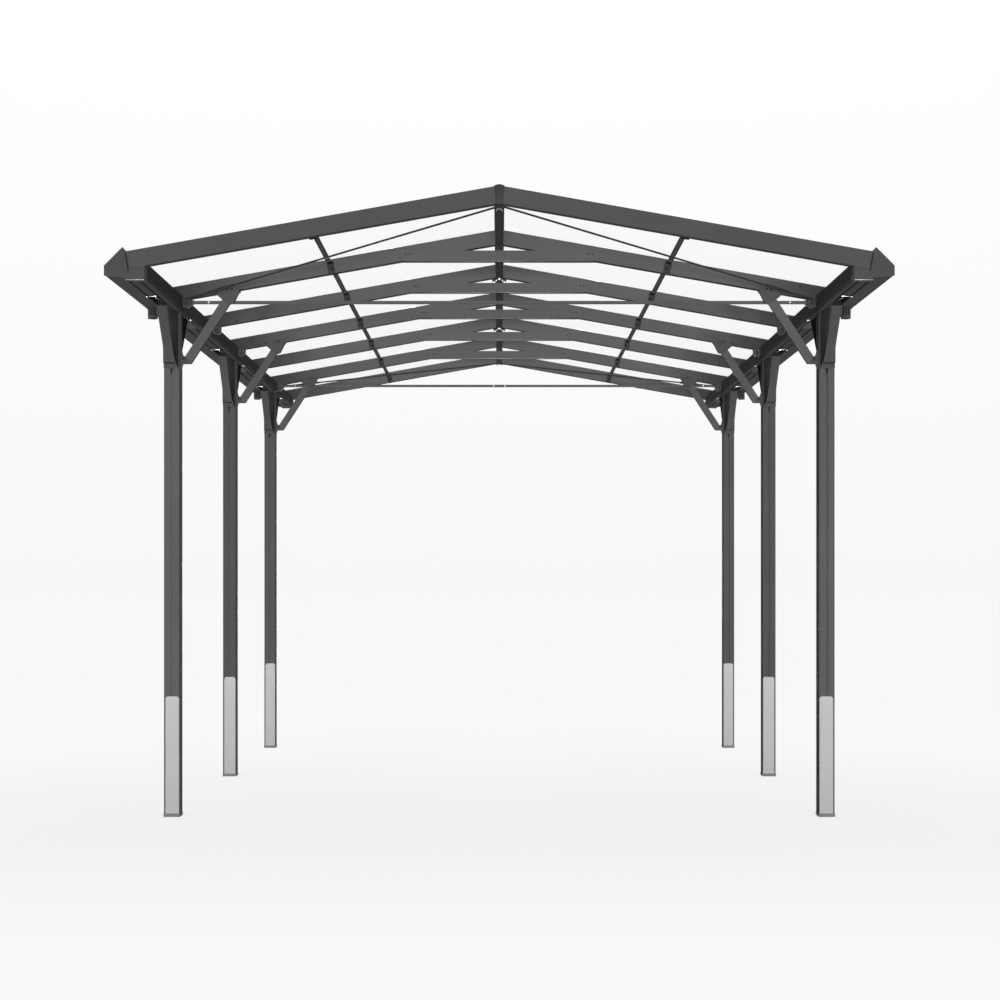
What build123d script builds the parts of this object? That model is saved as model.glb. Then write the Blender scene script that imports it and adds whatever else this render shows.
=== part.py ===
from build123d import *
import os
from math import cos, radians, sin, tan

# Gable carport: six posts, seven rafter pairs, translucent roof panels, gutters at both eaves.
# Frame: millimetres, +Z up, +Y along the parking bay, origin on the ground in the middle.

# ---- Overall sizes -------------------------------------------------------------------------
post_spread = 3352.0        # between the centre lines of the two rows of posts
bay_length = 828.0          # from one rafter pair to the next
bay_count = 6
roof_pitch = 10.0           # degrees
beam_underside = 2584.0     # ground to the underside of the eave beams
rafter_seat = 64.65         # beams' undersides to the rafters' undersides at the beams' inner faces

# ---- Posts ---------------------------------------------------------------------------------
post_size = 80.0
post_wall = 2.2
post_corner = 3.0
groove_width = 8.0
groove_depth = 9.0
foot_overhang = 2.0
foot_plate = 6.0
foot_height = 16.0
foot_gap = 0.3              # between the foot's skirt and the post
anchor_hole = 12.0
anchor_pitch = 44.0
guard_height = 601.0
guard_depth = 8.0
guard_corner = 11.0
guard_lift = 1.0            # above the foot

# ---- Post head brackets --------------------------------------------------------------------
bracket_width = 56.0
bracket_lip = 22.0          # how far the straight lower part stands off the post
bracket_reach = 170.0       # how far the top stands off the post
bracket_height = 262.0
bracket_straight = 79.0     # height of the straight lower part
bracket_shell = 4.0         # walls of the hollow rear corbel
collar_height = 29.0
collar_depth = 4.0
hook_width = 44.0           # ribbed block that hooks into the beam's channel
hook_height = 30.0
hook_length = 34.0
hook_slots = 4
hook_slot_width = 5.0
hook_slot_depth = 8.0

# ---- Eave beams ----------------------------------------------------------------------------
beam_inner_offset = 52.0    # post centre line to the inner face
beam_width = 86.0
beam_height = 84.0
beam_wall = 3.0
channel_width = 58.0        # open channel underneath, against the outer wall
channel_depth = 34.0
channel_cover = 3.0         # thickness of the U profiles that close the channel
channel_gap = 0.3
cover_groove = 5.5          # shadow line on either side of a cover
cover_barb = 2.0            # thickness of the barbs that grip the channel's walls
cover_end = 465.0           # from a post's centre to where the covers stop

# ---- Gutters -------------------------------------------------------------------------------
gutter_wall = 2.5
gutter_width = 95.0
gutter_drop = 9.0           # underside of the gutter above the beam's underside, at the beam
gutter_fall = 9.0           # the floor falls towards the beam by this much
gutter_side = 46.0          # height of the upright outer side
gutter_slope_run = 72.0     # run of the 45 degree face above it
outlet_diameter = 50.0
outlet_wall = 3.0
outlet_length = 62.0
outlet_nut = 56.0           # across the flats of the eight-sided nut under the gutter floor
outlet_nut_depth = 7.0
outlet_offset = 114.0       # from the post centre, towards the front
outlet_reach = 79.0         # from the post centre line, outwards
end_cap_depth = 6.0
end_cap_lap = 5.0           # how far the caps stand out past the gutters

# ---- Roof ----------------------------------------------------------------------------------
rafter_width = 40.0
rafter_depth = 70.0
rafter_wall = 2.5
panel_thickness = 10.0
panel_joint = 8.0           # between neighbouring panels
fit_gap = 0.3               # between parts that only rest together
panel_overhang = 6.0        # past the gutter's back wall
ridge_width = 42.0
ridge_wall = 3.0
ridge_groove = 3.0
ridge_drop = 2.0            # underside of the ridge beam below the crossing of the undersides
ridge_cap_width = 49.0
ridge_cap_rise = 7.7
ridge_cap_wall = 2.5
keystone_height = 91.0
keystone_foot = 30.0
strip_width = 40.0
strip_height = 4.0

# ---- Collar ties and ridge hangers ---------------------------------------------------------
collar_tie_height = 54.0
collar_tie_drop = 34.0      # top of the tie below the crossing of the rafter undersides
collar_tie_wall = 3.0
collar_tie_end = 26.0       # the slanted end runs out by this much
hanger_plate = 6.0
hanger_width = 41.0
hanger_leg = 12.0
hanger_arch = 14.0          # height of the gap between the legs
hanger_tooth = 37.0         # from the middle to the teeth beside the legs
hanger_tooth_width = 6.0
hanger_tooth_gap = 7.0      # between the teeth and the collar tie

# ---- Knee braces ---------------------------------------------------------------------------
brace_width = 47.0
brace_thickness = 20.0
brace_wall = 2.5
brace_edge = 1.5            # chamfer along the bar's edges
brace_angle = 57.0          # degrees from level
brace_foot_drop = 263.0     # the braces' feet below the beams' undersides
brace_foot_offset = 28.0    # post inner face to the brace's axis at its foot
brace_side = 10.0           # towards the front from the row of posts
cheek_thickness = 3.0
cheek_radius = 44.0
foot_tab_height = 98.0      # plate between the cheeks and the post
foot_tab_depth = 13.0
foot_tab_tip = 5.0
shoe_neck = 66.0            # along the brace's axis, from the rafter to the end of the bar
shoe_out = 81.0             # along the rafter, outwards from the axis
shoe_in = 34.0              # along the rafter, inwards from the axis
shoe_lip = 9.0
shoe_up = 22.0              # how far the shoe covers the rafter's sides
shoe_plate = 4.0

# ---- Tie rods, seats and wind bracing ------------------------------------------------------
tie_rod_diameter = 17.0
tie_rod_lift = 56.0         # above the beams' undersides
tie_rod_side = 11.5         # towards the rear from the row of posts
seat_width = 41.0           # blocks under the rafters' outer ends
seat_height = 37.0
seat_round = 24.0
wire_diameter = 7.0
wire_gable_gap = 24.0       # from the gable rafter's inner side
wire_post_gap = 16.0        # from the side of the rafter over the post
wire_drop = 5.0             # below the ridge beam
lug_width = 16.0
lug_thickness = 6.0
lug_depth = 24.0

# ---- Purlins -------------------------------------------------------------------------------
purlin_position = 855.0
purlin_width = 30.0
purlin_thickness = 5.0
clip_width = 43.0
clip_depth = 14.0
clip_plate = 3.0

# ---- Worked out from the sizes above -------------------------------------------------------
slope = tan(radians(roof_pitch))
lean = cos(radians(roof_pitch))
post_x = post_spread / 2
post_rows = {"front": -2 * bay_length, "middle": 0.0, "rear": 2 * bay_length}
rafter_rows = [(i - bay_count / 2) * bay_length for i in range(bay_count + 1)]
gable_y = bay_count / 2 * bay_length
half_length = gable_y + rafter_width / 2
beam_x0 = post_x - beam_inner_offset
beam_x1 = beam_x0 + beam_width
rafter_rise = beam_underside + rafter_seat + slope * beam_x0     # where the undersides would cross
panel_plane = rafter_rise + rafter_depth / lean          # panel undersides, at the middle
roof_top = panel_plane + panel_thickness / lean          # panel tops, at the middle
beam_top = beam_underside + beam_height
beam_half_length = half_length - rafter_width
channel_x = beam_x1 - beam_wall - channel_width / 2
ridge_bottom = rafter_rise - ridge_drop
ridge_top = roof_top - slope * ridge_width / 2 + fit_gap
rafter_x0 = ridge_width / 2
rafter_x1 = beam_x1 - gutter_wall
gable_depth = rafter_depth + panel_thickness
brace_foot_height = beam_underside - brace_foot_drop
tie_rod_height = beam_underside + tie_rod_lift
os.makedirs("parts", exist_ok=True)


def write(builder, name):
    """Label the finished piece and write it out."""
    builder.part.label = name
    export_step(builder.part, f"parts/{name}.step")


def write_pair(builder, name):
    """Write the right-hand piece and its mirror image on the left."""
    write(builder, f"{name}_right")
    with BuildPart() as other_hand:
        mirror(builder.part, about=Plane.YZ)
    write(other_hand, f"{name}_left")


def section(y):
    """Upright plane across the carport, x outwards and y up, facing the front."""
    return Plane(origin=(0, y, 0), x_dir=(1, 0, 0), z_dir=(0, -1, 0))


# ---- Posts: grooved hollow section ---------------------------------------------------------
for row, y in post_rows.items():
    with BuildPart() as post:
        with BuildSketch(Plane(origin=(post_x, y, foot_plate))) as post_section:
            Rectangle(post_size, post_size)
            chamfer(post_section.vertices(), post_corner)
            Rectangle(post_size - 2 * post_wall, post_size - 2 * post_wall, mode=Mode.SUBTRACT)
            with PolarLocations((post_size - groove_depth - post_wall) / 2, 4):
                Rectangle(groove_depth + post_wall, groove_width + 2 * post_wall)
            with PolarLocations((post_size - groove_depth) / 2, 4):
                Rectangle(groove_depth, groove_width, mode=Mode.SUBTRACT)
        extrude(amount=beam_underside - foot_plate)
    write_pair(post, f"post_{row}")

# ---- Post feet: anchored plate with a skirt round the post ---------------------------------
with BuildPart() as post_feet:
    for y in post_rows.values():
        foot_size = post_size + 2 * foot_overhang
        with BuildSketch(Plane(origin=(post_x, y, 0))) as foot_outline:
            Rectangle(foot_size, foot_size)
            chamfer(foot_outline.vertices(), post_corner)
            with GridLocations(anchor_pitch, 1, 2, 1):
                Circle(anchor_hole / 2, mode=Mode.SUBTRACT)
        extrude(amount=foot_plate)
        with BuildSketch(Plane(origin=(post_x, y, foot_plate))):
            skirt = Rectangle(foot_size, foot_size)
            chamfer(skirt.vertices(), post_corner)
            hollow = post_size + 2 * foot_gap
            Rectangle(hollow, hollow, mode=Mode.SUBTRACT)
        extrude(amount=foot_height - foot_plate)
write_pair(post_feet, "post_feet")

# ---- Post guards: bumper plates on the front faces -----------------------------------------
with BuildPart() as post_guards:
    for y in post_rows.values():
        with BuildSketch(section(y - post_size / 2)) as guard_face:
            with Locations((post_x, foot_height + guard_lift + guard_height / 2)):
                Rectangle(post_size, guard_height)
            fillet(guard_face.vertices().group_by(Axis.Y)[-1], guard_corner)
        extrude(amount=guard_depth)
write_pair(post_guards, "post_guards")

# ---- Post head brackets: flared corbels in front of and behind each post --------------------
bracket_bottom = beam_underside - bracket_height
bracket_x1 = post_x + post_size / 2
bracket_x0 = bracket_x1 - bracket_width
inner_corner = post_x - post_size / 2
sweep_in = bracket_x0 - inner_corner
corbel_outline = [                      # out from the post, height
    (0, bracket_bottom),
    (bracket_lip, bracket_bottom),
    (bracket_lip, bracket_bottom + bracket_straight),
    (bracket_reach, beam_underside),
    (0, beam_underside),
]
with BuildPart() as front_corbel:
    face_y = -post_size / 2
    with BuildSketch(Plane(origin=(bracket_x1, face_y, 0), x_dir=(0, -1, 0), z_dir=(-1, 0, 0))):
        with BuildLine():
            Polyline(*corbel_outline, close=True)
        make_face()
    extrude(amount=post_size)
    # the inner side sweeps in a hollow curve from the narrow front to the post's corner
    with BuildSketch(Plane(origin=(0, face_y, bracket_bottom))):
        with BuildLine():
            RadiusArc((inner_corner, 0), (bracket_x0, -sweep_in), -sweep_in)
            Polyline(
                (bracket_x0, -sweep_in),
                (bracket_x0, -bracket_reach),
                (inner_corner, -bracket_reach),
                (inner_corner, 0),
            )
        make_face()
    extrude(amount=bracket_height, mode=Mode.SUBTRACT)
    # flat collar on the post below
    with BuildSketch(section(face_y)):
        with Locations(((bracket_x0 - collar_depth + bracket_x1) / 2,
                        bracket_bottom - collar_height / 2)):
            Rectangle(bracket_width + collar_depth, collar_height)
    extrude(amount=collar_depth)

with BuildPart() as rear_corbel:        # narrower shell, centred on the post and open inwards
    shell_x0 = post_x - bracket_width / 2
    open_side = Plane(origin=(shell_x0, post_size / 2, 0), x_dir=(0, 1, 0), z_dir=(1, 0, 0))
    with BuildSketch(open_side):
        with BuildLine():
            Polyline(*corbel_outline, close=True)
        make_face()
    extrude(amount=bracket_width)
    with BuildSketch(open_side):
        with BuildLine():
            Polyline(*corbel_outline, close=True)
        make_face()
        offset(amount=-bracket_shell, kind=Kind.INTERSECTION, mode=Mode.REPLACE)
    extrude(amount=bracket_width - bracket_shell, mode=Mode.SUBTRACT)
    with BuildSketch(section(post_size / 2 + collar_depth)):
        with Locations((post_x, bracket_bottom - collar_height / 2)):
            Rectangle(bracket_width, collar_height)
    extrude(amount=collar_depth)

with BuildPart() as bracket_hook:       # ribbed block in the beam's channel
    hook_x = beam_x1 - beam_wall - channel_gap - hook_width / 2
    hook_y = face_y - bracket_reach + hook_length / 2
    with BuildSketch(Plane(origin=(hook_x, hook_y, beam_underside))):
        Rectangle(hook_width, hook_length)
        with Locations((0, (hook_slot_depth - hook_length) / 2)):
            with GridLocations(hook_width / hook_slots, 1, hook_slots, 1):
                Rectangle(hook_slot_width, hook_slot_depth, mode=Mode.SUBTRACT)
    extrude(amount=hook_height)

with BuildPart() as post_head_brackets:
    for y in post_rows.values():
        with Locations((0, y, 0)):
            add(front_corbel.part)
            add(rear_corbel.part)
            add(bracket_hook.part)
            add(bracket_hook.part.mirror(Plane.XZ))
write_pair(post_head_brackets, "post_head_brackets")

# ---- Eave beams: hollow section with a deep open channel underneath ------------------------
with BuildPart() as eave_beam:
    with BuildSketch(section(beam_half_length)):
        with Locations((beam_x0 + beam_width / 2, beam_underside + beam_height / 2)):
            Rectangle(beam_width, beam_height)
            Rectangle(beam_width - 2 * beam_wall, beam_height - 2 * beam_wall, mode=Mode.SUBTRACT)
        with Locations((channel_x, beam_underside + (channel_depth + beam_wall) / 2)):
            Rectangle(channel_width + 2 * beam_wall, channel_depth + beam_wall)
        with Locations((channel_x, beam_underside + channel_depth / 2)):
            Rectangle(channel_width, channel_depth, mode=Mode.SUBTRACT)
    extrude(amount=2 * beam_half_length)
write_pair(eave_beam, "eave_beam")

# ---- Channel covers: U profiles with closed ends, pressed in between the post heads ---------
cover_runs = [(-beam_half_length, post_rows["front"] - cover_end),
              (post_rows["front"] + cover_end, post_rows["middle"] - cover_end),
              (post_rows["middle"] + cover_end, post_rows["rear"] - cover_end),
              (post_rows["rear"] + cover_end, beam_half_length)]
cover_width = channel_width - 2 * cover_groove
cover_height = channel_depth - channel_gap
grip_width = channel_width - 2 * channel_gap
cover_inside = cover_width - 2 * channel_cover
with BuildPart() as channel_covers:
    for start_y, stop_y in cover_runs:
        with BuildSketch(section(stop_y)):
            with Locations((channel_x, beam_underside)):
                Rectangle(cover_width, cover_height, align=(Align.CENTER, Align.MIN))
            with Locations((channel_x, beam_underside + cover_height)):
                Rectangle(grip_width, cover_barb, align=(Align.CENTER, Align.MAX))
            with Locations((channel_x, beam_underside + channel_cover)):
                Rectangle(cover_inside, cover_height, align=(Align.CENTER, Align.MIN),
                          mode=Mode.SUBTRACT)
        extrude(amount=stop_y - start_y)
        for end_y in (start_y + channel_cover, stop_y):
            with BuildSketch(section(end_y)):
                with Locations((channel_x, beam_underside)):
                    Rectangle(grip_width, cover_height, align=(Align.CENTER, Align.MIN))
            extrude(amount=channel_cover)
write_pair(channel_covers, "channel_covers")

# ---- Gutters: open trough with a sloping outer face, in two lengths that meet mid-way -------
gutter_z = beam_underside + gutter_drop
trough_x1 = beam_x1 + gutter_width
trough_low = (beam_x1, gutter_z)
trough_out = (trough_x1, gutter_z + gutter_fall)
trough_side = (trough_x1, gutter_z + gutter_fall + gutter_side)
trough_lip = (trough_x1 - gutter_slope_run, gutter_z + gutter_fall + gutter_side + gutter_slope_run)
gutter_back = panel_plane - slope * (beam_x1 + gutter_wall) - fit_gap
floor_tilt = gutter_fall / gutter_width
outlet_x = post_x + outlet_reach
outlet_rows = [post_rows["front"] - outlet_offset, post_rows["rear"] - outlet_offset]
outlet_floor = gutter_z + floor_tilt * (outlet_x - beam_x1)
for end, stop_y, outlet_y in (("front", 0.0, outlet_rows[0]), ("rear", half_length, outlet_rows[1])):
    with BuildPart() as gutter:
        with BuildSketch(section(stop_y)):
            with BuildLine():
                Polyline((beam_x1, gutter_back), trough_low, trough_out, trough_side, trough_lip)
                offset(amount=gutter_wall, side=Side.LEFT)
            make_face()
        extrude(amount=half_length)
        with BuildSketch(Plane(origin=(outlet_x, outlet_y, gutter_z - gutter_fall))):
            Circle(outlet_diameter / 2 - outlet_wall)
        extrude(amount=3 * gutter_fall, mode=Mode.SUBTRACT)
    write_pair(gutter, f"gutter_{end}")

# ---- Gutter outlets: spigots with a nut under the gutter floor -----------------------------
floor_plane = Plane(origin=(*trough_low[:1], 0, gutter_z), x_dir=(0, 1, 0),
                    z_dir=(-floor_tilt, 0, 1))
with BuildPart() as gutter_outlets:
    for y in outlet_rows:
        with BuildSketch(Plane(origin=(outlet_x, y, outlet_floor - outlet_length))):
            Circle(outlet_diameter / 2)
        extrude(amount=outlet_length + gutter_fall)
        with BuildSketch(Plane(origin=(outlet_x, y, outlet_floor - outlet_nut_depth))):
            RegularPolygon(outlet_nut / 2, 8, major_radius=False)
        extrude(amount=outlet_nut_depth + gutter_fall)
        with BuildSketch(Plane(origin=(outlet_x, y, outlet_floor - outlet_length))):
            Circle(outlet_diameter / 2 - outlet_wall)
        extrude(amount=outlet_length + gutter_fall, mode=Mode.SUBTRACT)
    split(bisect_by=floor_plane, keep=Keep.BOTTOM)
write_pair(gutter_outlets, "gutter_outlets")

# ---- Rafters: hollow bars, gable ones deeper so that they hide the panel edges -------------
def rafter(y, depth, wall_x, notched):
    """Right-hand rafter between the ridge beam and the eave, its end cut square or notched."""
    low = rafter_rise - slope * wall_x
    top = rafter_rise + depth / lean
    with BuildPart() as bar:
        with BuildSketch(section(y + rafter_width / 2)):
            with BuildLine():
                if notched:
                    Polyline(
                        (rafter_x0, rafter_rise - slope * rafter_x0),
                        (beam_x0, rafter_rise - slope * beam_x0),
                        (beam_x0, beam_top),
                        (wall_x, beam_top),
                        (wall_x, top - slope * wall_x),
                        (rafter_x0, top - slope * rafter_x0),
                        close=True,
                    )
                else:
                    square = wall_x - depth * sin(radians(roof_pitch))
                    Polyline(
                        (rafter_x0, rafter_rise - slope * rafter_x0),
                        (square, rafter_rise - slope * square),
                        (wall_x, top - slope * wall_x),
                        (rafter_x0, top - slope * rafter_x0),
                        close=True,
                    )
            make_face()
        extrude(amount=rafter_width)
        offset(amount=-rafter_wall,
               openings=bar.faces().filter_by(Axis.X).sort_by(Axis.X)[0])
    return bar.part


for number, y in enumerate(rafter_rows, start=1):
    is_gable = number in (1, len(rafter_rows))
    with BuildPart() as rafter_pair:
        add(rafter(y, gable_depth if is_gable else rafter_depth, rafter_x1, not is_gable))
        mirror(about=Plane.YZ)
    write(rafter_pair, f"rafter_pair_{number}")

# ---- Ridge: beam, rounded cap and keystone end plates --------------------------------------
with BuildPart() as ridge_beam:
    with BuildSketch(section(half_length)):
        middle = (ridge_bottom + ridge_top) / 2
        height = ridge_top - ridge_bottom
        with Locations((0, middle)):
            Rectangle(ridge_width, height)
            Rectangle(ridge_width - 2 * ridge_wall, height - 2 * ridge_wall, mode=Mode.SUBTRACT)
        with Locations((ridge_width / 2 - 2 * ridge_groove, ridge_bottom + ridge_wall / 4),
                       (2 * ridge_groove - ridge_width / 2, ridge_bottom + ridge_wall / 4)):
            Rectangle(ridge_groove, ridge_wall / 2, mode=Mode.SUBTRACT)
    extrude(amount=2 * half_length)
write(ridge_beam, "ridge_beam")

with BuildPart() as ridge_cap:
    half_cap = ridge_cap_width / 2
    with BuildSketch(section(half_length)):
        with BuildLine():
            ThreePointArc((-half_cap, ridge_top), (0, ridge_top + ridge_cap_rise),
                          (half_cap, ridge_top))
            Line((half_cap, ridge_top), (-half_cap, ridge_top))
        make_face()
        with BuildLine():
            inner = half_cap - 3 * ridge_cap_wall
            ThreePointArc((-inner, ridge_top), (0, ridge_top + ridge_cap_rise - ridge_cap_wall),
                          (inner, ridge_top))
            Line((inner, ridge_top), (-inner, ridge_top))
        make_face(mode=Mode.SUBTRACT)
    extrude(amount=2 * half_length)
write(ridge_cap, "ridge_cap")

with BuildPart() as ridge_end_caps:
    for y in (half_length + end_cap_depth, -half_length):
        crown = ridge_top + ridge_cap_rise
        with BuildSketch(section(y)):
            with BuildLine():
                ThreePointArc((-half_cap, ridge_top), (0, crown), (half_cap, ridge_top))
                Polyline(
                    (half_cap, ridge_top),
                    (keystone_foot / 2, crown - keystone_height),
                    (-keystone_foot / 2, crown - keystone_height),
                    (-half_cap, ridge_top),
                )
            make_face()
        extrude(amount=end_cap_depth)
write(ridge_end_caps, "ridge_end_caps")

# ---- Roof panels, with cover strips over their joints --------------------------------------
panel_x0 = rafter_x0 + fit_gap
panel_x1 = beam_x1 + gutter_wall + panel_overhang
with BuildPart() as roof_panels:
    for number in range(bay_count):
        first, last = rafter_rows[number], rafter_rows[number + 1]
        front = first + (rafter_width if number == 0 else panel_joint) / 2
        back = last - (rafter_width if number == bay_count - 1 else panel_joint) / 2
        with BuildSketch(section(back)):
            with BuildLine():
                Polyline(
                    (panel_x0, panel_plane - slope * panel_x0),
                    (panel_x1, panel_plane - slope * panel_x1),
                    (panel_x1, roof_top - slope * panel_x1),
                    (panel_x0, roof_top - slope * panel_x0),
                    close=True,
                )
            make_face()
        extrude(amount=back - front)
write_pair(roof_panels, "roof_panels")

with BuildPart() as cover_strips:
    run = (panel_x1 - ridge_cap_width / 2) / lean
    for y in rafter_rows[1:-1]:
        seam = Plane(origin=(ridge_cap_width / 2, y, roof_top - slope * ridge_cap_width / 2),
                     x_dir=(0, 1, 0), z_dir=(lean, 0, -sin(radians(roof_pitch))))
        with BuildSketch(seam):
            with Locations((0, strip_height / 2)):
                Trapezoid(strip_width, strip_height, 45)
            with Locations((0, -panel_thickness / 2)):
                Rectangle(panel_joint - 2 * fit_gap, panel_thickness)
        extrude(amount=run)
write_pair(cover_strips, "cover_strips")

# ---- Gutter end caps: moulded plates that close the gutter and the beam's end --------------
with BuildPart() as gutter_end_cap:
    rafter_end = rafter_x1 - gable_depth * sin(radians(roof_pitch))
    rafter_corner = (rafter_end, rafter_rise - slope * rafter_end)
    rafter_top = (rafter_x1, roof_top - slope * rafter_x1)
    peak_x = rafter_x1 + 2 * gutter_fall
    cap_x1 = trough_x1 + end_cap_lap
    peak = (peak_x, trough_side[1] + cap_x1 - peak_x)
    with BuildSketch(section(-half_length)):
        with BuildLine():
            Polyline(
                rafter_top,
                peak,
                (cap_x1, trough_side[1]),
                (cap_x1, trough_out[1]),
                trough_low,
                (beam_x1, beam_underside),
                (beam_x0, beam_underside),
                (beam_x0, rafter_rise - slope * beam_x0),
                rafter_corner,
                close=True,
            )
        make_face()
    extrude(amount=end_cap_depth)
    # box below the rafter's end that reaches back to the beam
    with BuildSketch(section(-beam_half_length)):
        with BuildLine():
            Polyline(
                (beam_x0, beam_underside),
                (beam_x1, beam_underside),
                (beam_x1, rafter_rise - slope * beam_x1 - slope),
                (beam_x0, rafter_rise - slope * beam_x0 - slope),
                close=True,
            )
        make_face()
    extrude(amount=rafter_width)
for end, flip in (("front", False), ("rear", True)):
    with BuildPart() as end_caps:
        cap = gutter_end_cap.part.mirror(Plane.XZ) if flip else gutter_end_cap.part
        add(cap)
        mirror(about=Plane.YZ)
    write(end_caps, f"gutter_end_caps_{end}")

# ---- Collar ties: channels that wrap each inner rafter pair from below ---------------------
tie_top = rafter_rise - collar_tie_drop
tie_bottom = tie_top - collar_tie_height
tie_half = (rafter_rise - tie_bottom) / slope
web_half = (rafter_rise - tie_bottom - collar_tie_wall) / slope
with BuildPart() as collar_ties:
    for y in rafter_rows[1:-1]:
        for side_y in (y - rafter_width / 2, y + rafter_width / 2 + collar_tie_wall):
            with BuildSketch(section(side_y)):
                with BuildLine():
                    Polyline(
                        (-tie_half, tie_bottom),
                        (tie_half, tie_bottom),
                        (tie_half + collar_tie_end, tie_top),
                        (-tie_half - collar_tie_end, tie_top),
                        close=True,
                    )
                make_face()
            extrude(amount=collar_tie_wall)
        with BuildSketch(section(y + rafter_width / 2)):
            with Locations((0, tie_bottom + collar_tie_wall / 2)):
                Rectangle(2 * web_half, collar_tie_wall)
        extrude(amount=rafter_width)
write(collar_ties, "collar_ties")

# ---- Knee braces: tubes between cheeks on the posts and shoes on the rafters ---------------
brace_lean = radians(brace_angle)
brace_foot_x = inner_corner - brace_foot_offset
brace_rise = rafter_rise - slope * brace_foot_x - brace_foot_height
brace_up = brace_rise / (sin(brace_lean) - slope * cos(brace_lean))
shoe_x = brace_foot_x - brace_up * cos(brace_lean)      # where the axis meets the rafter
neck_x = shoe_x + shoe_neck * cos(brace_lean)
neck_z = rafter_rise - slope * shoe_x - shoe_neck * sin(brace_lean)
for row, y in post_rows.items():
    brace_start = Plane(origin=(neck_x, y - brace_side, neck_z), x_dir=(0, 1, 0),
                        z_dir=(cos(brace_lean), 0, -sin(brace_lean)))
    with BuildPart() as knee_braces:
        with BuildSketch(brace_start) as brace_section:
            Rectangle(brace_thickness, brace_width)
            chamfer(brace_section.vertices(), brace_edge)
            Rectangle(brace_thickness - 2 * brace_wall, brace_width - 2 * brace_wall,
                      mode=Mode.SUBTRACT)
        extrude(amount=brace_up)
        split(bisect_by=Plane.XY.offset(brace_foot_height), keep=Keep.TOP)
        split(bisect_by=Plane.YZ.offset(inner_corner - foot_tab_depth), keep=Keep.BOTTOM)
        mirror(about=Plane.YZ)
    write(knee_braces, f"knee_braces_{row}")

# ---- Brace feet: rounded cheeks and a tapered plate on each post's inner side --------------
with BuildPart() as brace_feet:
    for y in post_rows.values():
        brace_front = y - brace_side - brace_thickness / 2
        for cheek_y in (brace_front, brace_front + brace_thickness + cheek_thickness):
            with BuildSketch(section(cheek_y)):
                with Locations((inner_corner, brace_foot_height)):
                    Circle(cheek_radius)
                with Locations((inner_corner, brace_foot_height)):
                    Rectangle(cheek_radius, 2 * cheek_radius, align=(Align.MIN, Align.CENTER),
                              mode=Mode.SUBTRACT)
                    Rectangle(2 * cheek_radius, cheek_radius, align=(Align.CENTER, Align.MAX),
                              mode=Mode.SUBTRACT)
            extrude(amount=cheek_thickness)
        tab_low = brace_foot_height + (cheek_radius - foot_tab_height) / 2
        with BuildSketch(section(brace_front + brace_thickness)):
            with BuildLine():
                Polyline(
                    (inner_corner, tab_low),
                    (inner_corner - foot_tab_tip, tab_low),
                    (inner_corner - foot_tab_depth, brace_foot_height),
                    (inner_corner - foot_tab_depth, brace_foot_height + cheek_radius),
                    (inner_corner - foot_tab_tip, tab_low + foot_tab_height),
                    (inner_corner, tab_low + foot_tab_height),
                    close=True,
                )
            make_face()
        extrude(amount=brace_thickness)
write_pair(brace_feet, "brace_feet")

# ---- Brace shoes: flared castings that saddle the rafters from below -----------------------
neck_half_x = brace_width / 2 * sin(brace_lean)
neck_half_z = brace_width / 2 * cos(brace_lean)


def under_rafter(along, above):
    """Point on the rafter's underside, along it from the brace's axis, and a height above."""
    x = shoe_x + along * lean
    return (x, rafter_rise - slope * x + above)


def shoe_outline(top):
    """Front view of a shoe: flared neck below the rafter, its top at a height over it."""
    return [
        (neck_x + neck_half_x, neck_z + neck_half_z),
        under_rafter(shoe_out, -shoe_lip),
        under_rafter(shoe_out, top),
        under_rafter(-shoe_in, top),
        under_rafter(-shoe_in, -shoe_lip),
        (neck_x - 2 * neck_half_x, neck_z - neck_half_z / 2),
        (neck_x - neck_half_x, neck_z - neck_half_z),
    ]


with BuildPart() as brace_shoes:
    for y in post_rows.values():
        with BuildSketch(section(y - rafter_width / 2)):
            with BuildLine():
                Polyline(*shoe_outline(shoe_up), close=True)
            make_face()
        extrude(amount=shoe_plate)
        with BuildSketch(section(y - brace_side + brace_thickness / 2)):
            with BuildLine():
                Polyline(*shoe_outline(0), close=True)
            make_face()
        extrude(amount=rafter_width / 2 - brace_side + brace_thickness / 2)
        with BuildSketch(section(y + rafter_width / 2 + shoe_plate)):
            with BuildLine():
                Polyline(under_rafter(shoe_out, -shoe_lip), under_rafter(shoe_out, 0),
                         under_rafter(-shoe_in, 0), under_rafter(-shoe_in, -shoe_lip), close=True)
            make_face()
        extrude(amount=rafter_width + shoe_plate)
        with BuildSketch(section(y + rafter_width / 2 + shoe_plate)):
            with BuildLine():
                Polyline(under_rafter(shoe_out, -shoe_lip), under_rafter(shoe_out, shoe_up),
                         under_rafter(-shoe_in, shoe_up), under_rafter(-shoe_in, -shoe_lip),
                         close=True)
            make_face()
        extrude(amount=shoe_plate)
write_pair(brace_shoes, "brace_shoes")

# ---- Rafter seats: rounded blocks on the beams under the inner rafters ---------------------
with BuildPart() as rafter_seats:
    seat_top = rafter_rise - slope * beam_x0
    for y in rafter_rows[1:-1]:
        with BuildSketch(section(y + rafter_width / 2)) as seat:
            with BuildLine():
                Polyline(
                    (beam_x0, seat_top),
                    (beam_x0 - seat_width, seat_top + slope * seat_width),
                    (beam_x0 - seat_width, seat_top - seat_height),
                    (beam_x0, seat_top - seat_height),
                    close=True,
                )
            make_face()
            fillet(seat.vertices().group_by(Axis.Y)[0].sort_by(Axis.X)[0], seat_round)
        extrude(amount=rafter_width)
write_pair(rafter_seats, "rafter_seats")

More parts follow.
